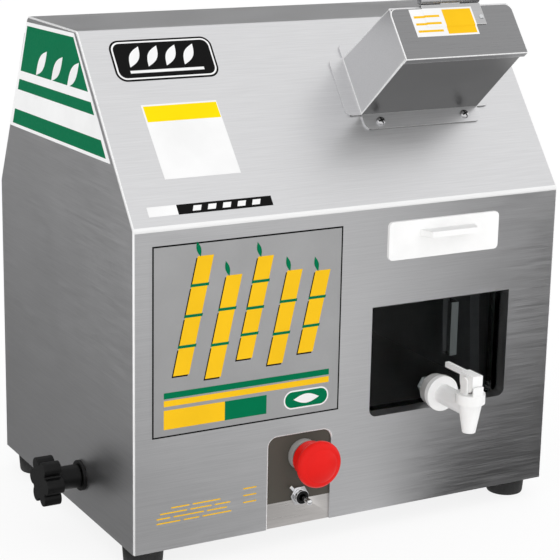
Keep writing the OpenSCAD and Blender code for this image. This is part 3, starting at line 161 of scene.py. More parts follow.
class Paint:
    """A principled material with helpers for its procedural detail."""

    def __init__(self, name):
        self.material = bpy.data.materials.new(name)
        self.material.use_nodes = True
        self.tree = self.material.node_tree
        self.nodes = self.tree.nodes
        self.shader = self.nodes["Principled BSDF"]
        self.place = self.nodes.new("ShaderNodeTexCoord").outputs["Object"]

    def link(self, start, end):
        self.tree.links.new(start, end)

    def set(self, **values):
        """Sets the shader's own values; a name's underscores stand for spaces."""
        for key, value in values.items():
            self.shader.inputs[key.replace("_", " ")].default_value = value
        return self

    def noise(self, scale, detail=3.0, stretch=(1, 1, 1)):
        """Noise over the object's own coordinates, in features per metre."""
        mapping = self.nodes.new("ShaderNodeMapping")
        mapping.inputs["Scale"].default_value = tuple(scale * value for value in stretch)
        self.link(self.place, mapping.inputs["Vector"])
        noise = self.nodes.new("ShaderNodeTexNoise")
        noise.inputs["Scale"].default_value = 1.0
        noise.inputs["Detail"].default_value = detail
        self.link(mapping.outputs["Vector"], noise.inputs["Vector"])
        return noise.outputs["Fac"]

    def spread(self, value, low, high, start=0.3, end=0.7):
        """Maps a value from its range, by default a noise's usual one, onto another range."""
        node = self.nodes.new("ShaderNodeMapRange")
        node.inputs["From Min"].default_value = start
        node.inputs["From Max"].default_value = end
        node.inputs["To Min"].default_value = low
        node.inputs["To Max"].default_value = high
        self.link(value, node.inputs["Value"])
        return node.outputs["Result"]

    def sum(self, first, second):
        node = self.nodes.new("ShaderNodeMath")
        node.operation = "ADD"
        self.link(first, node.inputs[0])
        self.link(second, node.inputs[1])
        return node.outputs["Value"]

    def tint(self, noise, first, second):
        """Mixes two colours by a noise."""
        node = self.nodes.new("ShaderNodeMix")
        node.data_type = "RGBA"
        node.inputs[MIX_FIRST].default_value = (*first, 1)
        node.inputs[MIX_SECOND].default_value = (*second, 1)
        self.link(self.spread(noise, 0.0, 1.0), node.inputs["Factor"])
        self.link(node.outputs[MIX_RESULT], self.shader.inputs["Base Color"])

    def rough(self, value):
        self.link(value, self.shader.inputs["Roughness"])

    def bump(self, value, depth, strength):
        """Raises the surface by a noise, with its depth in millimetres."""
        node = self.nodes.new("ShaderNodeBump")
        node.inputs["Strength"].default_value = strength
        node.inputs["Distance"].default_value = depth * MM
        self.link(value, node.inputs["Height"])
        self.link(node.outputs["Normal"], self.shader.inputs["Normal"])

    def grain(self, colour, scale, detail, rough, blotches, tones, depth, strength):
        """A fine grain in roughness and height, and broad blotches between two tones of a colour."""
        texture = self.noise(scale, detail)
        self.rough(self.spread(texture, *rough))
        self.tint(self.noise(blotches), *(shade(colour, tone) for tone in tones))
        self.bump(texture, depth, strength)
        return self.material


def shade(colour, factor):
    return tuple(value * factor for value in colour)


def grey(value):
    return (value, value, value)


def around(value, slack):
    return value - slack, value + slack


def brushed_metal(name, colour, roughness, along, depth=0.004, metallic=1.0):
    """Sheet metal with streaks along one direction and a faint cloudiness."""
    paint = Paint(name).set(Metallic=metallic)
    stretch = tuple(ALONG_STREAK if value else 1.0 for value in along)
    streaks = paint.noise(STREAKS, detail=2.0, stretch=stretch)
    fine = paint.spread(streaks, *around(0.0, 0.05))
    broad = paint.spread(paint.noise(CLOUDS), *around(roughness, 0.025))
    paint.rough(paint.sum(fine, broad))
    paint.tint(streaks, shade(colour, 0.95), shade(colour, 1.04))
    paint.bump(streaks, depth, strength=0.35)
    return paint.material


def cast_metal(name, colour, roughness, metallic=0.7):
    """Metal with a grainy skin."""
    paint = Paint(name).set(Metallic=metallic)
    rough = around(roughness, 0.08)
    return paint.grain(colour, scale=900, detail=4.0, rough=rough, blotches=60, tones=(0.88, 1.1),
                       depth=0.06, strength=0.5)


def plastic(name, colour, roughness, grain=700, depth=0.01, specular=0.5):
    """Moulded plastic with a faint texture."""
    paint = Paint(name).set(Specular_IOR_Level=specular)
    rough = around(roughness, 0.05)
    return paint.grain(colour, scale=grain, detail=3.0, rough=rough, blotches=45, tones=(0.96, 1.02),
                       depth=depth, strength=0.4)


def rubber(name, colour):
    """Dull rubber with a grainy skin."""
    return Paint(name).grain(colour, scale=1200, detail=4.0, rough=(0.6, 0.85), blotches=80,
                             tones=(0.8, 1.25), depth=0.05, strength=0.5)


def clear_plastic(name):
    """Clear acrylic with faint smears."""
    paint = Paint(name).set(IOR=1.15, Transmission_Weight=1.0)
    smears = paint.noise(30, detail=4.0, stretch=(1, 1, 0.3))
    paint.rough(paint.spread(smears, 0.015, 0.07))
    paint.tint(smears, (0.86, 0.9, 0.9), (0.93, 0.95, 0.95))
    return paint.material


def vinyl(name, colour, roughness=0.42, metallic=0.0):
    """Printed film."""
    paint = Paint(name).set(Metallic=metallic, Specular_IOR_Level=0.03)
    rough = (roughness - 0.04, roughness + 0.06)
    return paint.grain(colour, scale=500, detail=2.0, rough=rough, blotches=25, tones=(0.95, 1.03),
                       depth=0.004, strength=0.3)


# Materials

STEEL_TONE = (0.70, 0.70, 0.71)
STEEL_X = brushed_metal("brushed steel, grain across", STEEL_TONE, 0.36, X, depth=0.002)
STEEL_Y = brushed_metal("brushed steel, grain in depth", STEEL_TONE, 0.36, Y, depth=0.002)
LID_STEEL = brushed_metal("lid steel", (0.27, 0.27, 0.275), 0.32, X)
# Pale paint on rounded sheet edges: a painted highlight for the bright line along each bent edge
PAINTED_EDGE_HIGHLIGHT = brushed_metal("painted sheet edge highlight", grey(0.95), 0.3, Z, depth=0.001, metallic=0.3)
# Pale paint on the bend between front and slope: a painted highlight
PAINTED_FOLD_HIGHLIGHT = brushed_metal("painted fold highlight", grey(0.9), 0.35, X, depth=0.001, metallic=0.4)
HINGE_STEEL = brushed_metal("hinge steel", (0.5, 0.5, 0.505), 0.3, X, depth=0.002)
PLATE_STEEL = brushed_metal("plate steel", (0.78, 0.75, 0.73), 0.34, X)
# Dark steel on the chute's underside: painted shade
PAINTED_SHADE_CHUTE_STEEL = brushed_metal("chute underside painted shade", grey(0.2), 0.34, X)
SCREW_STEEL = brushed_metal("screw steel", (0.62, 0.62, 0.63), 0.2, X, depth=0.001)
# Dark steel inside the casing: painted shade
PAINTED_SHADE_INNER_STEEL = brushed_metal("inner steel, painted shade", (0.2, 0.2, 0.205), 0.4, X)
CHROME = brushed_metal("bright plating", (0.82, 0.82, 0.83), 0.12, Z, depth=0.001)
ROLLER_STEEL = brushed_metal("turned steel", (0.55, 0.56, 0.58), 0.3, X)
# Dark for its own dull finish, and darkened further as painted shade of the closed interior
GEAR_STEEL = cast_metal("dull steel with painted shade", (0.2, 0.2, 0.21), 0.5)
ZINC = brushed_metal("zinc plate", (0.66, 0.67, 0.68), 0.28, X, depth=0.002)
# Dark paint of its own, darkened further as painted shade of the closed interior
CAST_GREY = cast_metal("dark-painted casting with painted shade", (0.1, 0.11, 0.12), 0.5, metallic=0.0)
BRONZE = cast_metal("bronze", (0.5, 0.31, 0.12), 0.35, metallic=1.0)
WHITE_PLASTIC = plastic("white plastic", (0.985, 0.985, 0.98), 0.34)
GREY_PLASTIC = plastic("grey plastic", (0.36, 0.35, 0.34), 0.45)
RED_PLASTIC = plastic("red plastic", (0.80, 0.009, 0.006), 0.35, specular=0.18)
# Dark paint on the switch plate's upper part: a painted reflection of dark surroundings
PAINTED_PLATE_REFLECTION = plastic("painted dark plate reflection", (0.09, 0.083, 0.07), 0.45, grain=500, depth=0.005, specular=0.15)
BLACK_PLASTIC = plastic("black plastic", grey(0.005), 0.38, grain=800, depth=0.02, specular=0.22)
ACRYLIC = clear_plastic("clear acrylic")
ACRYLIC_EDGE = plastic("polished acrylic edge", (0.07, 0.08, 0.08), 0.2)
SEAL_RUBBER = rubber("seal rubber", (0.5, 0.5, 0.49))
BLACK_RUBBER = rubber("black rubber", grey(0.014))

YELLOW = vinyl("yellow film", (0.93, 0.55, 0.014))
LEMON = vinyl("lemon film", (0.98, 0.74, 0.004))
GREEN = vinyl("green film", (0.0, 0.17, 0.07))
WHITE = vinyl("white film", grey(0.9))
BLACK = vinyl("black film", grey(0.008))
GREY = vinyl("grey film", (0.60, 0.60, 0.605), metallic=1.0)

SLOT_PAINT = {
    "brushed_steel": STEEL_X,
    "polished_steel": CHROME,
    "roller_steel": ROLLER_STEEL,
    "gear_steel": GEAR_STEEL,
    "zinc_fasteners": ZINC,
    "cast_grey": CAST_GREY,
    "bronze": BRONZE,
    "white_plastic": WHITE_PLASTIC,
    "grey_plastic": GREY_PLASTIC,
    "red_plastic": RED_PLASTIC,
    "black_plastic": BLACK_PLASTIC,
    "clear_acrylic": ACRYLIC,
    "seal_rubber": SEAL_RUBBER,
    "black_rubber": BLACK_RUBBER,
}
# Nodes whose paint isn't their slot's
OWN_PAINT = {
    "left_side_panel": STEEL_Y,
    "right_side_panel": STEEL_Y,
    "feed_lid": LID_STEEL,
    "lid_leaf": HINGE_STEEL,
    "chute_leaf": HINGE_STEEL,
    "switch_plate": PLATE_STEEL,
    "toggle_body": CHROME,
    "tank_shelf": PLATE_STEEL,
    "juice_tray": PAINTED_SHADE_INNER_STEEL,
    "drawer_rails": PAINTED_SHADE_INNER_STEEL,
}


def paint_of(node):
    return OWN_PAINT.get(node, SLOT_PAINT[SLOT_OF[node]])


# Building blocks of pieces

# Distance in millimetres at which vertices are welded, and angle in degrees up to which faces are one flat
WELD = 0.002
FLAT_ANGLE = 0.5


def in_scene(name, data):
    """A new object in the scene."""
    made = bpy.data.objects.new(name, data)
    SCENE.collection.objects.link(made)
    return made


def new_piece(name, mesh, body, paint):
    """Adds a mesh to the scene and lets it move with a body, if one is given."""
    piece = in_scene(name, mesh)
    if mesh.materials:
        mesh.materials[0] = paint
    else:
        mesh.materials.append(paint)
    if body:
        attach(piece, body)
    return piece


def mesh_from(name, shape):
    """A new mesh of a bmesh, which is freed."""
    mesh = bpy.data.meshes.new(name)
    shape.to_mesh(mesh)
    shape.free()
    return mesh


def welded(mesh):
    """A bmesh of a mesh with its vertices welded and its flat areas made single faces."""
    shape = bmesh.new()
    shape.from_mesh(mesh)
    bmesh.ops.remove_doubles(shape, verts=shape.verts, dist=WELD * MM)
    flat = math.radians(FLAT_ANGLE)
    bmesh.ops.dissolve_limit(shape, angle_limit=flat, verts=shape.verts, edges=shape.edges)
    return shape


def apply_modifiers(piece):
    """Replaces a piece's mesh with what its modifiers make of it."""
    graph = bpy.context.evaluated_depsgraph_get()
    made = bpy.data.meshes.new_from_object(piece.evaluated_get(graph))
    piece.modifiers.clear()
    piece.data = made


def smooth_by_angle(mesh, degrees):
    for face in mesh.polygons:
        face.use_smooth = True
    mesh.set_sharp_from_angle(angle=math.radians(degrees))


# CAD nodes with rounded edges

EDGE_SLACK = 0.05
# The part of the front that holds the notch, from its lower left corner, and the size of the notch's corners
NOTCH_LEFT, NOTCH_RIGHT = 118, 183
NOTCH_LOW, NOTCH_HIGH = 1, 83
NOTCH_CORNER = 4
LONG_EDGE = 50


def outer_edges(shape):
    """Edges of the front panel that are rounded: its two sides and its notch's top and left side."""
    low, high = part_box("front_panel")
    middle = middle_of("front_panel")
    slack = EDGE_SLACK * MM
    chosen = []
    for edge in shape.edges:
        ends = [v.co for v in edge.verts]
        centre = (ends[0] + ends[1]) / 2
        away = Vector((0, centre.y - middle.y, centre.z - middle.z))
        outward = [face.normal for face in edge.link_faces if face.normal.dot(away) > 0]
        shown = any(abs(normal.x) < NOT_ALIGNED for normal in outward)
        at_side = any(all(abs(end.x - side) < slack for end in ends) for side in (low.x, high.x))
        on_front = all(abs(end.y - low.y) < slack for end in ends)
        u, v = FRONT.place(centre)
        near_notch = NOTCH_LEFT < u < NOTCH_RIGHT and NOTCH_LOW < v < NOTCH_HIGH
        right_side = u > NOTCH_RIGHT - NOTCH_CORNER and abs(ends[0].x - ends[1].x) < slack
        of_notch = on_front and near_notch and not right_side and len(edge.link_faces) == 2
        if (at_side and shown) or of_notch:
            chosen.append(edge)
    return chosen


def chute_edges(shape):
    """The four long outer edges of the feed chute and the folds of its two side flanges."""
    middle = middle_of("feed_chute")
    chosen = []
    for edge in shape.edges:
        along = edge.verts[1].co - edge.verts[0].co
        if along.length < LONG_EDGE * MM or len(edge.link_faces) != 2:
            continue
        normals = [face.normal for face in edge.link_faces]
        away = (edge.verts[0].co + edge.verts[1].co) / 2 - middle
        outer = all(normal.dot(away) > 0 for normal in normals)
        corner = abs(normals[0].dot(normals[1])) < SQUARE
        long_way = abs(along.normalized().dot(SLOPE_OUT)) > ALIGNED
        sideways = any(abs(normal.x) > ALIGNED for normal in normals)
        on_flange = any(normal.dot(SLOPE_OUT) > ALIGNED for normal in normals)
        fold = sideways and on_flange and not edge.is_convex
        if corner and ((outer and long_way) or fold):
            chosen.append(edge)
    return chosen


# Radius of the rounded edges of bent sheet in millimetres, and what chooses them
ROUND = 1.3
ROUNDED = {"front_panel": outer_edges, "feed_chute": chute_edges}
# Paint of the edges that differ from their piece: a painted highlight on the sheet pieces, polished acrylic
# on the tank
EDGE_PAINT = {
    "front_panel": PAINTED_EDGE_HIGHLIGHT,
    "feed_chute": PAINTED_EDGE_HIGHLIGHT,
    "feed_lid": PAINTED_EDGE_HIGHLIGHT,
    "lid_leaf": PAINTED_EDGE_HIGHLIGHT,
    "juice_tank": ACRYLIC_EDGE,
}
# Width of all edges that are sharper than an angle in degrees, in millimetres; 0 leaves them as they are
SHARP_ANGLE = 35
EDGE_WIDTHS = {
    "front_panel": 0.6,
    "rear_panel": 0.4,
    "left_side_panel": 0.4,
    "right_side_panel": 0.4,
    "switch_plate": 0.3,
    "feed_chute": 0.5,
    "feed_lid": 0.9,
    "lid_leaf": 0.2,
    "chute_leaf": 0.2,
    "bagasse_chute": 0.4,
    "strainer_drawer": 1.0,
    "juice_tank": 0.6,
    "tap_body": 0.5,
    "tap_lever": 0.8,
    "tap_seals": 0.6,
    "estop_body": 0.5,
    "estop_head": 0.0,
    "toggle_nut": 0.3,
    "toggle_lever": 0.0,
    "toggle_body": 0.3,
    "tension_knob": 1.5,
    "knob_bush": 0.4,
    "cable_gland": 0.5,
    "feet": 1.5,
}


def round_edges(node, piece, width):
    """Rounds all sharp edges of a piece, in the paint of the node's edges, a painted highlight on sheet
    pieces.
    """
    bevel = piece.modifiers.new("edges", "BEVEL")
    bevel.width = width * MM
    bevel.segments = 2
    bevel.limit_method = "ANGLE"
    bevel.angle_limit = math.radians(SHARP_ANGLE)
    bevel.miter_outer = "MITER_ARC"
    if node in EDGE_PAINT:
        piece.data.materials.append(EDGE_PAINT[node])
        bevel.material = 1
    apply_modifiers(piece)


def refine(node, width):
    """A copy of a node with rounded edges that stands for it."""
    source = NODES[node]
    shape = welded(source.data)
    if node in ROUNDED:
        # The chosen edges are rounded in the second paint, the painted edge highlight
        bmesh.ops.bevel(
            shape, geom=ROUNDED[node](shape), offset=ROUND * MM, offset_type="OFFSET", segments=4,
            profile=0.5, affect="EDGES", material=1, clamp_overlap=False
        )
    mesh = source.data.copy()
    shape.to_mesh(mesh)
    shape.free()
    piece = new_piece(node + "_shown", mesh, source["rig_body"], paint_of(node))
    if width > 0:
        round_edges(node, piece, width)
    smooth_by_angle(piece.data, SHARP_ANGLE)
    weigh = piece.modifiers.new("flat faces", "WEIGHTED_NORMAL")
    weigh.keep_sharp = True
    weigh.weight = 100
    apply_modifiers(piece)
    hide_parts(node)
    return piece


SHOWN = {node: refine(node, width) for node, width in EDGE_WIDTHS.items()}


# Faces with a paint of their own: painted reflection, painted highlight and painted shade, and the tank fin's
# edge

# Height at which the switch plate's upper part, painted dark as a painted reflection, ends, from the front's
# lower corner
PLATE_LINE = FRONT.at(0, 22)
# Upward share of the normals on the bend between front and slope
BEND_START, BEND_END = 0.04, 0.58
THROAT_RADIUS = 3.6
FIN_FRONT = 0.5
# White and red pieces and the lid, which the photo's panels don't mirror
NOT_MIRRORED = ("estop_head", "strainer_drawer", "tap_body", "tap_lever", "feed_lid")


def repaint(node, paint, wanted):
    """Gives the faces of a shown piece that pass a test their own paint."""
    mesh = SHOWN[node].data
    if paint not in mesh.materials[:]:
        mesh.materials.append(paint)
    index = mesh.materials[:].index(paint)
    for face in mesh.polygons:
        if wanted(face):
            face.material_index = index


def split_plate():
    """Cuts the switch plate's shown mesh along the line where its upper part, painted dark as a painted
    reflection, ends.
    """
    mesh = SHOWN["switch_plate"].data
    shape = bmesh.new()
    shape.from_mesh(mesh)
    parts = shape.verts[:] + shape.edges[:] + shape.faces[:]
    bmesh.ops.bisect_plane(shape, geom=parts, plane_co=PLATE_LINE, plane_no=Z)
    shape.to_mesh(mesh)
    shape.free()


def above_plate_line(face):
    return face.center.z > PLATE_LINE.z


def on_bend(face):
    """The bend between front and slope, which takes a painted highlight."""
    return face.normal.y < 0 and BEND_START < face.normal.z < BEND_END


def down_the_slope(face):
    """Faces that look down the slope, without the painted edge highlight; they take a painted shade."""
    return face.material_index == 0 and face.normal.dot(SLOPE_UP) < -ALIGNED


def in_throat(face):
    """The throat of the toggle switch, painted black as a painted shade inside its bore."""
    middle = middle_of("toggle_nut")
    return math.hypot(face.center.x - middle.x, face.center.z - middle.z) < THROAT_RADIUS * MM


def on_fin(face):
    """The narrow front of the tank's finger fin."""
    return face.normal.y < -ALIGNED and face.center.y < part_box("juice_tank")[0].y + FIN_FRONT * MM


split_plate()
# A painted reflection: the plate's upper part is painted dark
repaint("switch_plate", PAINTED_PLATE_REFLECTION, above_plate_line)
# A painted highlight along the bend between front and slope
repaint("front_panel", PAINTED_FOLD_HIGHLIGHT, on_bend)
# Painted shade on the underside of the feed chute
repaint("feed_chute", PAINTED_SHADE_CHUTE_STEEL, down_the_slope)
# Painted shade: black inside the toggle switch's throat
repaint("toggle_body", BLACK_PLASTIC, in_throat)
repaint("juice_tank", ACRYLIC_EDGE, on_fin)
for node in NOT_MIRRORED:
    SHOWN[node].visible_glossy = False

for name, node in NODES.items():
    if name not in SHOWN:
        node.data.materials.clear()
        node.data.materials.append(paint_of(name))


# Belt

def soft_belt():
    """The belt between the fixed worm pulley and the motor's pulley, which shifts to set its tension."""
    piece = new_piece("drive_belt_shown", NODES["drive_belt"].data.copy(), None, paint_of("drive_belt"))
    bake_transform(piece)
    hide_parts("drive_belt")


soft_belt()


# Printed films, in millimetres

# Thickness of a film, its gap to the sheet below, and the rise from one level to the next
FILM = 0.12
FILM_GAP = 0.03
LEVEL_RISE = 0.05
film_count = {}


def film_lifts(level):
    """Heights of a film's underside and top; a higher level lies on the lower ones."""
    low = FILM_GAP + level * LEVEL_RISE
    return low, low + FILM


def film_piece(name, shape, body, paint):
    """Adds a film's solid as the next piece of that name."""
    film_count[name] = film_count.get(name, 0) + 1
    bmesh.ops.recalc_face_normals(shape, faces=shape.faces)
    new_piece(f"{name}_{film_count[name]}", mesh_from(name, shape), body, paint)


def film(name, panel, outline, paint, level=0):
    """A thin solid on one of the casing's panels from an outline."""
    shape = bmesh.new()
    bottom, top = ([shape.verts.new(panel.at(u, v, lift)) for u, v in outline] for lift in film_lifts(level))
    shape.faces.new(top)
    shape.faces.new(list(reversed(bottom)))
    count = len(outline)
    for i in range(count):
        j = (i + 1) % count
        shape.faces.new((bottom[i], bottom[j], top[j], top[i]))
    film_piece(name, shape, "casing", paint)


def draped(name, across, up, height, paint, level):
    """A thin film over a step of the lid, from lines across and up and the height at a point."""
    shape = bmesh.new()
    sides = []
    for lift in film_lifts(level):
        sides.append([[shape.verts.new(LID.at(u, v, height(u, v) + lift)) for u in across] for v in up])
    bottom, top = sides
    for i in range(len(up) - 1):
        for j in range(len(across) - 1):
            shape.faces.new((top[i][j], top[i][j + 1], top[i + 1][j + 1], top[i + 1][j]))
            shape.faces.new((bottom[i][j], bottom[i + 1][j], bottom[i + 1][j + 1], bottom[i][j + 1]))
    for i in (0, -1):
        for j in range(len(across) - 1):
            shape.faces.new((bottom[i][j], bottom[i][j + 1], top[i][j + 1], top[i][j]))
    for j in (0, -1):
        for i in range(len(up) - 1):
            shape.faces.new((bottom[i][j], bottom[i + 1][j], top[i + 1][j], top[i][j]))
    film_piece(name, shape, "lid", paint)


def rectangle(left, low, right, high):
    return [(left, low), (right, low), (right, high), (left, high)]


def inset(box, margin):
    """A box made smaller by a margin on each side."""
    left, low, right, high = box
    return left + margin, low + margin, right - margin, high - margin


def rounded(box, radius, steps=8):
    """A rectangle with round corners."""
    left, low, right, high = inset(box, radius)
    points = []
    for x, y, start in ((right, low, -90), (right, high, 0), (left, high, 90), (left, low, 180)):
        for step in range(steps + 1):
            turn = math.radians(start + 90 * step / steps)
            points.append((x + radius * math.cos(turn), y + radius * math.sin(turn)))
    return points


def leaf(x, y, length, width, degrees, steps=12):
    """A pointed leaf from its stem."""
    turn = math.radians(degrees)
    points = []
    for side in (1, -1):
        for step in range(steps):
            share = step / steps if side > 0 else 1 - step / steps
            along = length * share
            off = side * width / 2 * math.sin(math.pi * share)
            points.append((x + along * math.cos(turn) - off * math.sin(turn),
                           y + along * math.sin(turn) + off * math.cos(turn)))
    return points


def slanted(left, low, right, high, lean):
    """A bar whose upper edge is shifted sideways."""
    return [(left, low), (right, low), (right + lean, high), (left + lean, high)]


def shifted(outline, shift):
    return [(x + shift, y + shift) for x, y in outline]


# Print on the front

FRONT_FILM = (16.0, 96.0, 186.0, 252.5)
FRAME_LINE = 1.3
STALK_WIDTH = 14
STALK_LEAN = 0.22
STALK_SHADOW = -1.3
JOINT_HEIGHT = 2.4
JOINT_PROUD = 1
STEM_IN, STEM_DOWN = 2, 3
# Left end, foot, length of a section and count of sections of each stalk
STALKS = [(34, 146, 22, 4), (62, 140, 26, 3), (90, 152, 19, 4), (118, 144, 24, 3), (146, 150, 21, 3)]


def front_frame():
    """A grey film with a dark line around it."""
    left, low, right, high = FRONT_FILM
    inner = inset(FRONT_FILM, FRAME_LINE)
    inner_left, inner_low, inner_right, inner_high = inner
    film("front_film", FRONT, rectangle(*inner), GREY)
    lines = [(left, low, right, inner_low), (left, inner_high, right, high)]
    lines += [(left, inner_low, inner_left, inner_high), (inner_right, inner_low, right, inner_high)]
    for line in lines:
        film("front_line", FRONT, rectangle(*line), BLACK)


def stalk(x, foot, length, count):
    """A leaning cane stalk of some sections, with joints between them and a leaf on top."""
    pitch = length + JOINT_HEIGHT
    for i in range(count):
        low = foot + i * pitch
        high = low + length
        start = x + (low - foot) * STALK_LEAN
        end = start + length * STALK_LEAN
        section = slanted(start, low, start + STALK_WIDTH, high, length * STALK_LEAN)
        film("cane_shadow", FRONT, shifted(section, STALK_SHADOW), BLACK, level=1)
        film("cane", FRONT, section, YELLOW, level=2)
        if i < count - 1:
            left, right = end - JOINT_PROUD, end + STALK_WIDTH + JOINT_PROUD
            joint = slanted(left, high, right, high + JOINT_HEIGHT, JOINT_HEIGHT * STALK_LEAN)
            film("cane_joint", FRONT, joint, GREEN, level=2)
    top = foot + count * pitch
    stem = x + (top - foot) * STALK_LEAN + STEM_IN
    outline = leaf(stem, top - STEM_DOWN, length=13, width=4, degrees=105)
    film("cane_leaf", FRONT, outline, GREEN, level=2)


def front_bars():
    """Two bars over two blocks and a badge with a leaf."""
    left, right = 26, 176
    bar_height = 5
    for bottom, paint in ((128, GREEN), (121.5, YELLOW)):
        film("front_bar", FRONT, rectangle(left, bottom, right, bottom + bar_height), paint, level=1)
    low, high = 102.5, 118.5
    split, block_right = 80, 118
    film("front_block", FRONT, rectangle(left, low, split, high), YELLOW, level=1)
    film("front_block", FRONT, rectangle(split, low, block_right, high), GREEN, level=1)
    badge = (134, low, right, high)
    radius = 7.9
    rim = 1.2
    film("front_drop", FRONT, rounded(badge, radius), WHITE, level=1)
    film("front_drop", FRONT, rounded(inset(badge, rim), radius - rim), GREEN, level=2)
    film("front_drop", FRONT, leaf(143, (low + high) / 2, length=24, width=8, degrees=0), WHITE, level=3)


def small_bars():
    """Rows of small bars at the front's lower left."""
    bar_height = 1.0
    gap = 3
    pitch = 4.0
    first_row = 23
    rows = [(20, (21, 14, 26)), (20, (12, 27, 18)), (23, (24, 19, 14)), (33, (16, 25))]
    for number, (start, lengths) in enumerate(rows):
        low = first_row + number * pitch
        for length in lengths:
            film("small_bar", FRONT, rectangle(start, low, start + length, low + bar_height), YELLOW)
            start += length + gap
    left, right = 98, 110
    wide_pitch = pitch * 1.5
    first_bar = 28
    for number in range(3):
        low = first_bar + number * wide_pitch
        film("small_bar", FRONT, rectangle(left, low, right, low + bar_height), YELLOW)


# Prints on the slope

def slope_badge():
    """A dark badge with a pale line, four leaves and a bar."""
    badge = (23.2, 128.5, 113.8, 166)
    for level, (margin, radius, paint) in enumerate(((0, 9, BLACK), (1.6, 7.6, WHITE), (3.0, 6.4, BLACK))):
        film("badge", SLOPE, rounded(inset(badge, margin), radius), paint, level=level)
    first, pitch, stem = 37, 16, 141
    for i in range(4):
        outline = leaf(first + i * pitch, stem, length=22, width=8, degrees=58)
        film("badge_leaf", SLOPE, outline, WHITE, level=3)
    film("badge_bar", SLOPE, rectangle(36, 135.5, 101, 138), WHITE, level=3)


def slope_card():
    """A pale card with a yellow band."""
    band = [(38.2, 91.5), (102.6, 91.5), (102.1, 105.5), (37.8, 105.5)]
    film("card", SLOPE, slanted(38.5, 41, 105, 107, lean=-2.3), WHITE)
    film("card_band", SLOPE, band, LEMON, level=1)


def slope_strip():
    """A two-tone strip with five slanted bars."""
    low, high = 10.4, 18.8
    left, split, right = 16.3, 41.5, 124.6
    film("strip", SLOPE, rectangle(left, low, split, high), WHITE)
    film("strip", SLOPE, rectangle(split, low, right, high), BLACK)
    first, pitch, width = 54, 13, 7
    margin = 2
    for i in range(5):
        start = first + i * pitch
        bar = slanted(start, low + margin, start + width, high - margin, lean=2)
        film("strip_bar", SLOPE, bar, WHITE, level=1)


# Print on the lid

def leaf_edges():
    """Left, lower and right edge of the hinge leaf on the lid and its height there, in millimetres."""
    left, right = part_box("lid_leaf")
    along = reach("lid_leaf", SLOPE_UP, CREASE)[0]
    lower = [v.co for v in NODES["lid_leaf"].data.vertices if (v.co - CREASE).dot(SLOPE_UP) < along + MM]
    rise = max((place - LID.origin).dot(LID.out) for place in lower)
    return LID.place(left)[0], (along - LID_LOW) / MM, LID.place(right)[0], rise / MM


LEAF_LEFT, LEAF_LOW, LEAF_RIGHT, LEAF_RISE = leaf_edges()


def leaf_height(u, v):
    """Height of the sheet under the lid's sticker."""
    return LEAF_RISE if u >= LEAF_LEFT and v >= LEAF_LOW else 0.0


def lid_patch(left, low, right, high, paint, level):
    """A rectangle of film that climbs onto the hinge leaf."""
    climb = 1.2
    across = sorted({left, right, *(u for u in (LEAF_LEFT - climb, LEAF_LEFT) if left < u < right)})
    up = sorted({low, high, *(v for v in (LEAF_LOW - climb, LEAF_LOW) if low < v < high)})
    draped("lid_sticker", across, up, leaf_height, paint, level)


def lid_print():
    """A small two-tone sticker on the lid, drawn over the edge of the hinge leaf."""
    sticker = (247, 20, 307, 45.5)
    margin = 1.6
    _, low, right, high = inset(sticker, margin)
    block_left = 277.5
    lid_patch(*sticker, WHITE, level=0)
    lid_patch(block_left, low, right, high, YELLOW, level=1)
    bar_left, bar_right = 249.5, 273.5
    bar_height = 2
    first, pitch = 24, 6.6
    for i in range(3):
        bottom = first + i * pitch
        lid_patch(bar_left, bottom, bar_right, bottom + bar_height, YELLOW, level=1)


# Print on the left side

SIDE_LOW = ((-261.0, 305.5), (-42.0, 310.5))
SIDE_HIGH = ((-216.0, 400.0), (-113.0, 403.0))
SIDE_BANDS = ((0.03, 0.17), (0.36, 0.46), (0.54, 0.965))
BAND_MARGIN = 0.03


def between(start, end, share):
    """The point at a share of the way from one point to another."""
    return tuple(a + (b - a) * share for a, b in zip(start, end))


def side_band(low, high, margin):
    """Outline of a band between two shares of the film's height, with a share left free at its ends."""
    rows = []
    for share in (low, high):
        left, right = (between(foot, top, share) for foot, top in zip(SIDE_LOW, SIDE_HIGH))
        rows.append((between(left, right, margin), between(left, right, 1 - margin)))
    return [rows[0][0], rows[0][1], rows[1][1], rows[1][0]]


def side_print():
    """Green and white bands on the left side, cut to the panel's slopes, and three leaves."""
    film("side_film", LEFT, side_band(0, 1, margin=0), WHITE)
    for low, high in SIDE_BANDS:
        film("side_band", LEFT, side_band(low, high, BAND_MARGIN), GREEN, level=1)
    first, pitch, stem = -196, 34, 358
    for i in range(3):
        outline = leaf(first + i * pitch, stem, length=34, width=11, degrees=42)
        film("side_leaf", LEFT, outline, WHITE, level=2)


front_frame()
for row in STALKS:
    stalk(*row)
front_bars()
small_bars()
slope_badge()
slope_card()
slope_strip()
lid_print()
side_print()


# Screws, rivet and lug

# Shares of a screw head's radius and height
HEAD_HEIGHT = 0.62
HEAD_EDGE = 0.3
CROSS_LENGTH = 1.5
CROSS_WIDTH = 0.34
CROSS_HEIGHT = 1.2
RECESS_RADIUS = 0.8
RECESS_TOP = 0.5
# Degrees: the first screw's turn, the step to the next one, and what counts as a sharp edge of a head
FIRST_TURN, NEXT_TURN = 23, 41
HEAD_SHARP = 40
# The leaf's rivet, and its place from the leaf's right and lower edge
RIVET_RADIUS, RIVET_HEIGHT, RIVET_EDGE = 2.2, 0.9, 0.2
RIVET_IN, RIVET_UP = 3.0, 7.0
# The lug's size, and its start as a share of the nut's width from the nut's middle
LUG_LENGTH, LUG_WIDTH, LUG_THICK = 8.5, 2.4, 1.0
LUG_START = 0.36
LUG_BEND = 0.5


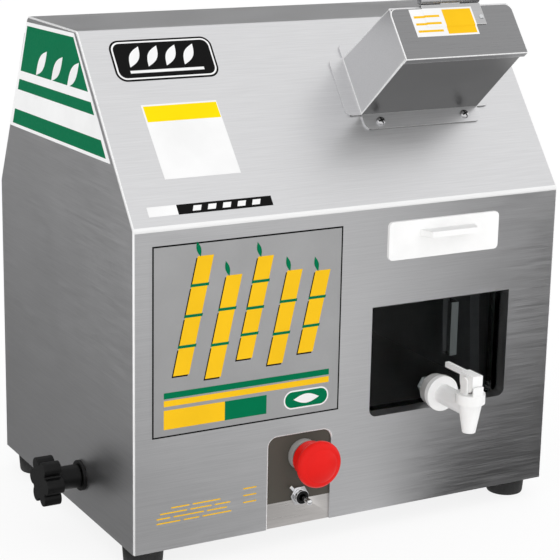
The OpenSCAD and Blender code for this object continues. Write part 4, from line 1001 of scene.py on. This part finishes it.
def lathe(profile, steps=32):
    """A round shape about Z from radius and height pairs in millimetres."""
    shape = bmesh.new()
    rings = []
    for radius, height in profile:
        ring = []
        for step in range(steps):
            turn = 2 * math.pi * step / steps
            x = radius * math.cos(turn)
            y = radius * math.sin(turn)
            ring.append(shape.verts.new((x * MM, y * MM, height * MM)))
        rings.append(ring)
    for low, high in zip(rings, rings[1:]):
        for i in range(steps):
            j = (i + 1) % steps
            shape.faces.new((low[i], low[j], high[j], high[i]))
    shape.faces.new(list(reversed(rings[0])))
    shape.faces.new(rings[-1])
    return shape


def dome(radius, height, edge, steps=6):
    """Profile of a low domed head standing on a straight edge, with a small flat on top."""
    fullness = 0.6
    flat = 0.08
    points = [(radius, 0.0)]
    for step in range(steps):
        turn = math.radians(90 * step / steps)
        points.append((radius * math.cos(turn) ** fullness, edge + (height - edge) * math.sin(turn)))
    points.append((radius * flat, height))
    return points


def cross_cutter(radius, height):
    """Two crossed bars through the top of a screw head."""
    shape = bmesh.new()
    length, width = radius * CROSS_LENGTH, radius * CROSS_WIDTH
    size = Matrix.Diagonal((length * MM, width * MM, height * CROSS_HEIGHT * MM, 1))
    for turn in (0, 90):
        place = Matrix.Rotation(math.radians(turn), 4, "Z") @ Matrix.Translation((0, 0, height * MM))
        bmesh.ops.create_cube(shape, size=1, matrix=place @ size)
    return in_scene("cross", mesh_from("cross", shape))


def cross_head(radius, height):
    """Mesh of a pan head with a cross recess, whose recess faces take the second paint, black as a painted
    shade.
    """
    head = in_scene("screw_head", mesh_from("screw_head", lathe(dome(radius, height, height * HEAD_EDGE))))
    cutter = cross_cutter(radius, height)
    cut = head.modifiers.new("cross", "BOOLEAN")
    cut.operation = "DIFFERENCE"
    cut.object = cutter
    cut.solver = "EXACT"
    cut.use_self = True
    apply_modifiers(head)
    made = head.data
    for face in made.polygons:
        inside = math.hypot(face.center.x, face.center.y) < RECESS_RADIUS * radius * MM
        sunk = abs(face.normal.z) < NEARLY_SQUARE or face.center.z < RECESS_TOP * height * MM
        face.material_index = 1 if inside and sunk else 0
    bpy.data.objects.remove(head)
    bpy.data.objects.remove(cutter)
    return made


def islands(mesh):
    """The separate solids of a mesh, each as the middle, normal and reach of its largest flat face."""
    shape = welded(mesh)
    seen = set()
    found = []
    for start in shape.faces:
        if start in seen:
            continue
        queue = [start]
        group = []
        seen.add(start)
        while queue:
            face = queue.pop()
            group.append(face)
            for edge in face.edges:
                for other in edge.link_faces:
                    if other not in seen:
                        seen.add(other)
                        queue.append(other)
        largest = max(group, key=lambda face: face.calc_area())
        middle = largest.calc_center_median().copy()
        radius = max((v.co - middle).length for v in largest.verts)
        found.append((middle, largest.normal.copy(), radius))
    shape.free()
    return found


def turned_to(direction):
    """The turn that takes Z to a direction."""
    return direction.to_track_quat("Z", "Y").to_matrix().to_4x4()


def screw_heads():
    """Cross heads on the undersides of the chute's screws, as one piece that stands for them."""
    screws = islands(NODES["pan_screws"].data)
    radius = screws[0][2] / MM
    head = cross_head(radius, radius * HEAD_HEIGHT)
    shape = bmesh.new()
    for number, (middle, normal, _) in enumerate(screws):
        spin = Matrix.Rotation(math.radians(FIRST_TURN + NEXT_TURN * number), 4, "Z")
        copy = head.copy()
        copy.transform(Matrix.Translation(middle) @ turned_to(-normal) @ spin)
        shape.from_mesh(copy)
        bpy.data.meshes.remove(copy)
    mesh = mesh_from("pan_screw_heads", shape)
    smooth_by_angle(mesh, HEAD_SHARP)
    piece = new_piece("pan_screw_heads", mesh, "casing", SCREW_STEEL)
    # Black in the cross recesses: painted shade
    mesh.materials.append(BLACK_PLASTIC)
    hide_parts("pan_screws")


def leaf_rivet():
    """The rivet at the hinge leaf's right end, beside the sticker."""
    mesh = mesh_from("leaf_rivet", lathe(dome(RIVET_RADIUS, RIVET_HEIGHT, RIVET_EDGE)))
    place = LID.at(LEAF_RIGHT - RIVET_IN, LEAF_LOW + RIVET_UP, LEAF_RISE)
    mesh.transform(Matrix.Translation(place) @ turned_to(SLOPE_OUT))
    smooth_by_angle(mesh, HEAD_SHARP)
    new_piece("leaf_rivet", mesh, "lid", ZINC)


def toggle_lug():
    """The lug of the lock washer under the toggle switch's nut, bent up beside it."""
    low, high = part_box("toggle_nut")
    middle = middle_of("toggle_nut")
    away = Vector((-1, 0, 1)).normalized()
    foot = Vector((middle.x, high.y, middle.z)) + away * (high.x - low.x) * LUG_START
    along = (away - Y * LUG_BEND).normalized()
    across = along.cross(Y).normalized()
    turn = Matrix((along, across, along.cross(across))).transposed().to_4x4()
    size = Matrix.Diagonal((LUG_LENGTH * MM, LUG_WIDTH * MM, LUG_THICK * MM, 1))
    place = Matrix.Translation(foot + along * LUG_LENGTH / 2 * MM - Y * LUG_THICK * MM)
    shape = bmesh.new()
    bmesh.ops.create_cube(shape, size=1, matrix=place @ turn @ size)
    bmesh.ops.recalc_face_normals(shape, faces=shape.faces)
    mesh = mesh_from("toggle_lug", shape)
    new_piece("toggle_lug", mesh, NODES["toggle_nut"]["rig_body"], CHROME)


screw_heads()
leaf_rivet()
toggle_lug()


# Floor and cards

FLOOR_HALF = 8.0
FLOOR_GLOW = 0.85
# The stretch of each panel's plane whose reflection a floor card fills, and the card's height, in millimetres
CARD_TOP = 530
FRONT_ACROSS, FRONT_UP, FRONT_CARD_HEIGHT = (-400, 1200), (-10, CARD_TOP), 2
LEFT_ACROSS, LEFT_UP, LEFT_CARD_HEIGHT = (-1200, 300), (-12, CARD_TOP), 3
CARD_STEPS = 24
# Tones of the front's card, and the stretches of the front over which they change
LEFT_SHARE, LOW_SHARE = 0.5, 0.5
BRIGHTER_ACROSS, BRIGHTER_UP = (60, 220), (20, 170)
DARKER_ACROSS = (230, 330)
FOOT_TONE, TONE_RISE, RISE_UP = 0.76, 0.28, (30, 230)
# The same for the left side's card
SIDE_TONE, SIDE_RISE, SIDE_RISE_UP = 0.2, 0.05, (0, 400)
# Upright cards: distance from the middle and heights in metres
WALL_AWAY = 3.2
BACK_WALL_HEIGHT, LEFT_WALL_HEIGHT = 3.0, 1.9
WALL_TONE = 0.2


def floor_paint():
    """A pale floor that takes shadows and glows a little for the camera, mirrors and clear pieces."""
    paint = Paint("floor").set(Metallic=0.0, Specular_IOR_Level=0.0)
    paint.rough(paint.spread(paint.noise(3), 0.85, 0.95))
    paint.tint(paint.noise(2), grey(0.965), grey(0.975))
    path = paint.nodes.new("ShaderNodeLightPath")
    seen = paint.sum(path.outputs["Is Camera Ray"], path.outputs["Is Glossy Ray"])
    seen = paint.sum(seen, path.outputs["Is Transmission Ray"])
    share = paint.spread(seen, 0.0, FLOOR_GLOW, start=0.0, end=1.0)
    glow = paint.nodes.new("ShaderNodeEmission")
    blend = paint.nodes.new("ShaderNodeMixShader")
    paint.link(share, blend.inputs["Fac"])
    paint.link(paint.shader.outputs["BSDF"], blend.inputs[1])
    paint.link(glow.outputs["Emission"], blend.inputs[2])
    paint.link(blend.outputs["Shader"], paint.nodes["Material Output"].inputs["Surface"])
    return paint.material


def floor():
    corners = [(-FLOOR_HALF, -FLOOR_HALF, 0), (FLOOR_HALF, -FLOOR_HALF, 0)]
    corners += [(FLOOR_HALF, FLOOR_HALF, 0), (-FLOOR_HALF, FLOOR_HALF, 0)]
    mesh = bpy.data.meshes.new("floor")
    mesh.from_pydata(corners, [], [(0, 1, 2, 3)])
    mesh.materials.append(floor_paint())
    in_scene("floor", mesh)


def card_paint():
    """A glow that takes its tone from the card."""
    material = bpy.data.materials.new("card glow")
    material.use_nodes = True
    tree = material.node_tree
    tree.nodes.clear()
    tone = tree.nodes.new("ShaderNodeAttribute")
    tone.attribute_name = "tone"
    glow = tree.nodes.new("ShaderNodeEmission")
    tree.links.new(tone.outputs["Color"], glow.inputs["Color"])
    end = tree.nodes.new("ShaderNodeOutputMaterial")
    tree.links.new(glow.outputs["Emission"], end.inputs["Surface"])
    return material


CARD_PAINT = card_paint()


def card(name, rows, tones):
    """A card from rows of points with a tone at each, seen in mirrors and nowhere else."""
    width = len(rows[0])
    faces = []
    for i in range(len(rows) - 1):
        for j in range(width - 1):
            start = i * width + j
            faces.append((start, start + 1, start + width + 1, start + width))
    mesh = bpy.data.meshes.new(name)
    mesh.from_pydata([tuple(point) for row in rows for point in row], [], faces)
    mesh.materials.append(CARD_PAINT)
    tone = mesh.color_attributes.new("tone", "FLOAT_COLOR", "POINT")
    for entry, value in zip(tone.data, (value for row in tones for value in row)):
        entry.color = (*grey(value), 1)
    made = in_scene(name, mesh)
    made.visible_camera = False
    made.visible_diffuse = False
    made.visible_transmission = False
    made.visible_shadow = False
    made.visible_volume_scatter = False


def floor_spot(panel, u, v, height):
    """The place just above the floor that a point of a panel mirrors to the camera."""
    spot = panel.at(u, v)
    mirrored_eye = EYE - panel.out * 2 * (EYE - panel.origin).dot(panel.out)
    ray = spot - mirrored_eye
    return spot + ray * ((height * MM - spot.z) / ray.z)


def spaced(low, high, count):
    return [low + (high - low) * i / (count - 1) for i in range(count)]


def ramp(value, low, high):
    """0 below the low end, 1 above the high end and smooth between."""
    share = min(max((value - low) / (high - low), 0.0), 1.0)
    return share * share * (3 - 2 * share)


def floor_card(name, panel, u_range, v_range, height, tone):
    """A card on the floor that fills a panel's reflection; its tone depends on the place on the panel."""
    across = spaced(*u_range, CARD_STEPS)
    up = spaced(*v_range, CARD_STEPS)
    rows = [[floor_spot(panel, u, v, height) for u in across] for v in up]
    card(name, rows, [[tone(u, v) for u in across] for v in up])


def front_tone(u, v):
    """Brightest near the middle, dark on the right and duller near the floor."""
    middle = ramp(u, *BRIGHTER_ACROSS) * (LOW_SHARE + (1 - LOW_SHARE) * ramp(v, *BRIGHTER_UP))
    across = LEFT_SHARE + (1 - LEFT_SHARE) * middle - ramp(u, *DARKER_ACROSS)
    return across * (FOOT_TONE + TONE_RISE * ramp(v, *RISE_UP))


def left_tone(u, v):
    """Dull, and a little brighter towards the top."""
    return SIDE_TONE + SIDE_RISE * ramp(v, *SIDE_RISE_UP)


def wall_card(name, start, end, high):
    """An upright card between two floor points in metres."""
    low = [Vector((*start, 0)), Vector((*end, 0))]
    tones = [WALL_TONE, WALL_TONE]
    card(name, [low, [point + Z * high for point in low]], [tones, tones])


# Light and camera

SUN_ENERGY = 0.3
SUN_ANGLE = 40
SUN_FROM = Vector((0.468, -0.457, 0.757))
# The photo's view in degrees, and a lens for a sensor of this width, in millimetres
AZIMUTH, ELEVATION, ROLL = -29.021, 15.048, 1.126
LENS, SENSOR = 116.86, 36.0
# Nearest and furthest distance in view, in metres
CLIP_START, CLIP_END = 0.05, 50


def world():
    """Even white light."""
    made = bpy.data.worlds.new("studio")
    SCENE.world = made
    made.use_nodes = True
    back = made.node_tree.nodes["Background"]
    back.inputs["Color"].default_value = (1, 1, 1, 1)
    back.inputs["Strength"].default_value = 1.0


def sun():
    """A soft lamp from the upper right that gives a shadow and no highlight."""
    light = bpy.data.lights.new("soft sun", "SUN")
    light.energy = SUN_ENERGY
    light.angle = math.radians(SUN_ANGLE)
    lamp = in_scene("soft sun", light)
    lamp.visible_glossy = False
    lamp.rotation_mode = "QUATERNION"
    lamp.rotation_quaternion = SUN_FROM.to_track_quat("Z", "Y")


def camera():
    """The photo's point of view."""
    azimuth, elevation, roll = (math.radians(value) for value in (AZIMUTH, ELEVATION, ROLL))
    away = math.cos(elevation)
    back = Vector((math.sin(azimuth) * away, -math.cos(azimuth) * away, math.sin(elevation)))
    right = (-back).cross(Z).normalized()
    up = right.cross(-back)
    across = right * math.cos(roll) + up * math.sin(roll)
    above = up * math.cos(roll) - right * math.sin(roll)
    data = bpy.data.cameras.new("photo")
    data.sensor_width = SENSOR
    data.lens = LENS
    data.dof.use_dof = False
    data.clip_start = CLIP_START
    data.clip_end = CLIP_END
    made = in_scene("photo", data)
    turn = Matrix((across, above, back)).transposed().to_4x4()
    made.matrix_world = Matrix.Translation(EYE) @ turn
    SCENE.camera = made


floor()
floor_card("front_card", FRONT, FRONT_ACROSS, FRONT_UP, FRONT_CARD_HEIGHT, front_tone)
floor_card("left_card", LEFT, LEFT_ACROSS, LEFT_UP, LEFT_CARD_HEIGHT, left_tone)
wall_card("back_wall", (-WALL_AWAY, WALL_AWAY), (WALL_AWAY, WALL_AWAY), BACK_WALL_HEIGHT)
wall_card("left_wall", (-WALL_AWAY, 0), (-WALL_AWAY, WALL_AWAY), LEFT_WALL_HEIGHT)
world()
sun()
camera()
SCENE.view_settings.view_transform = "Standard"
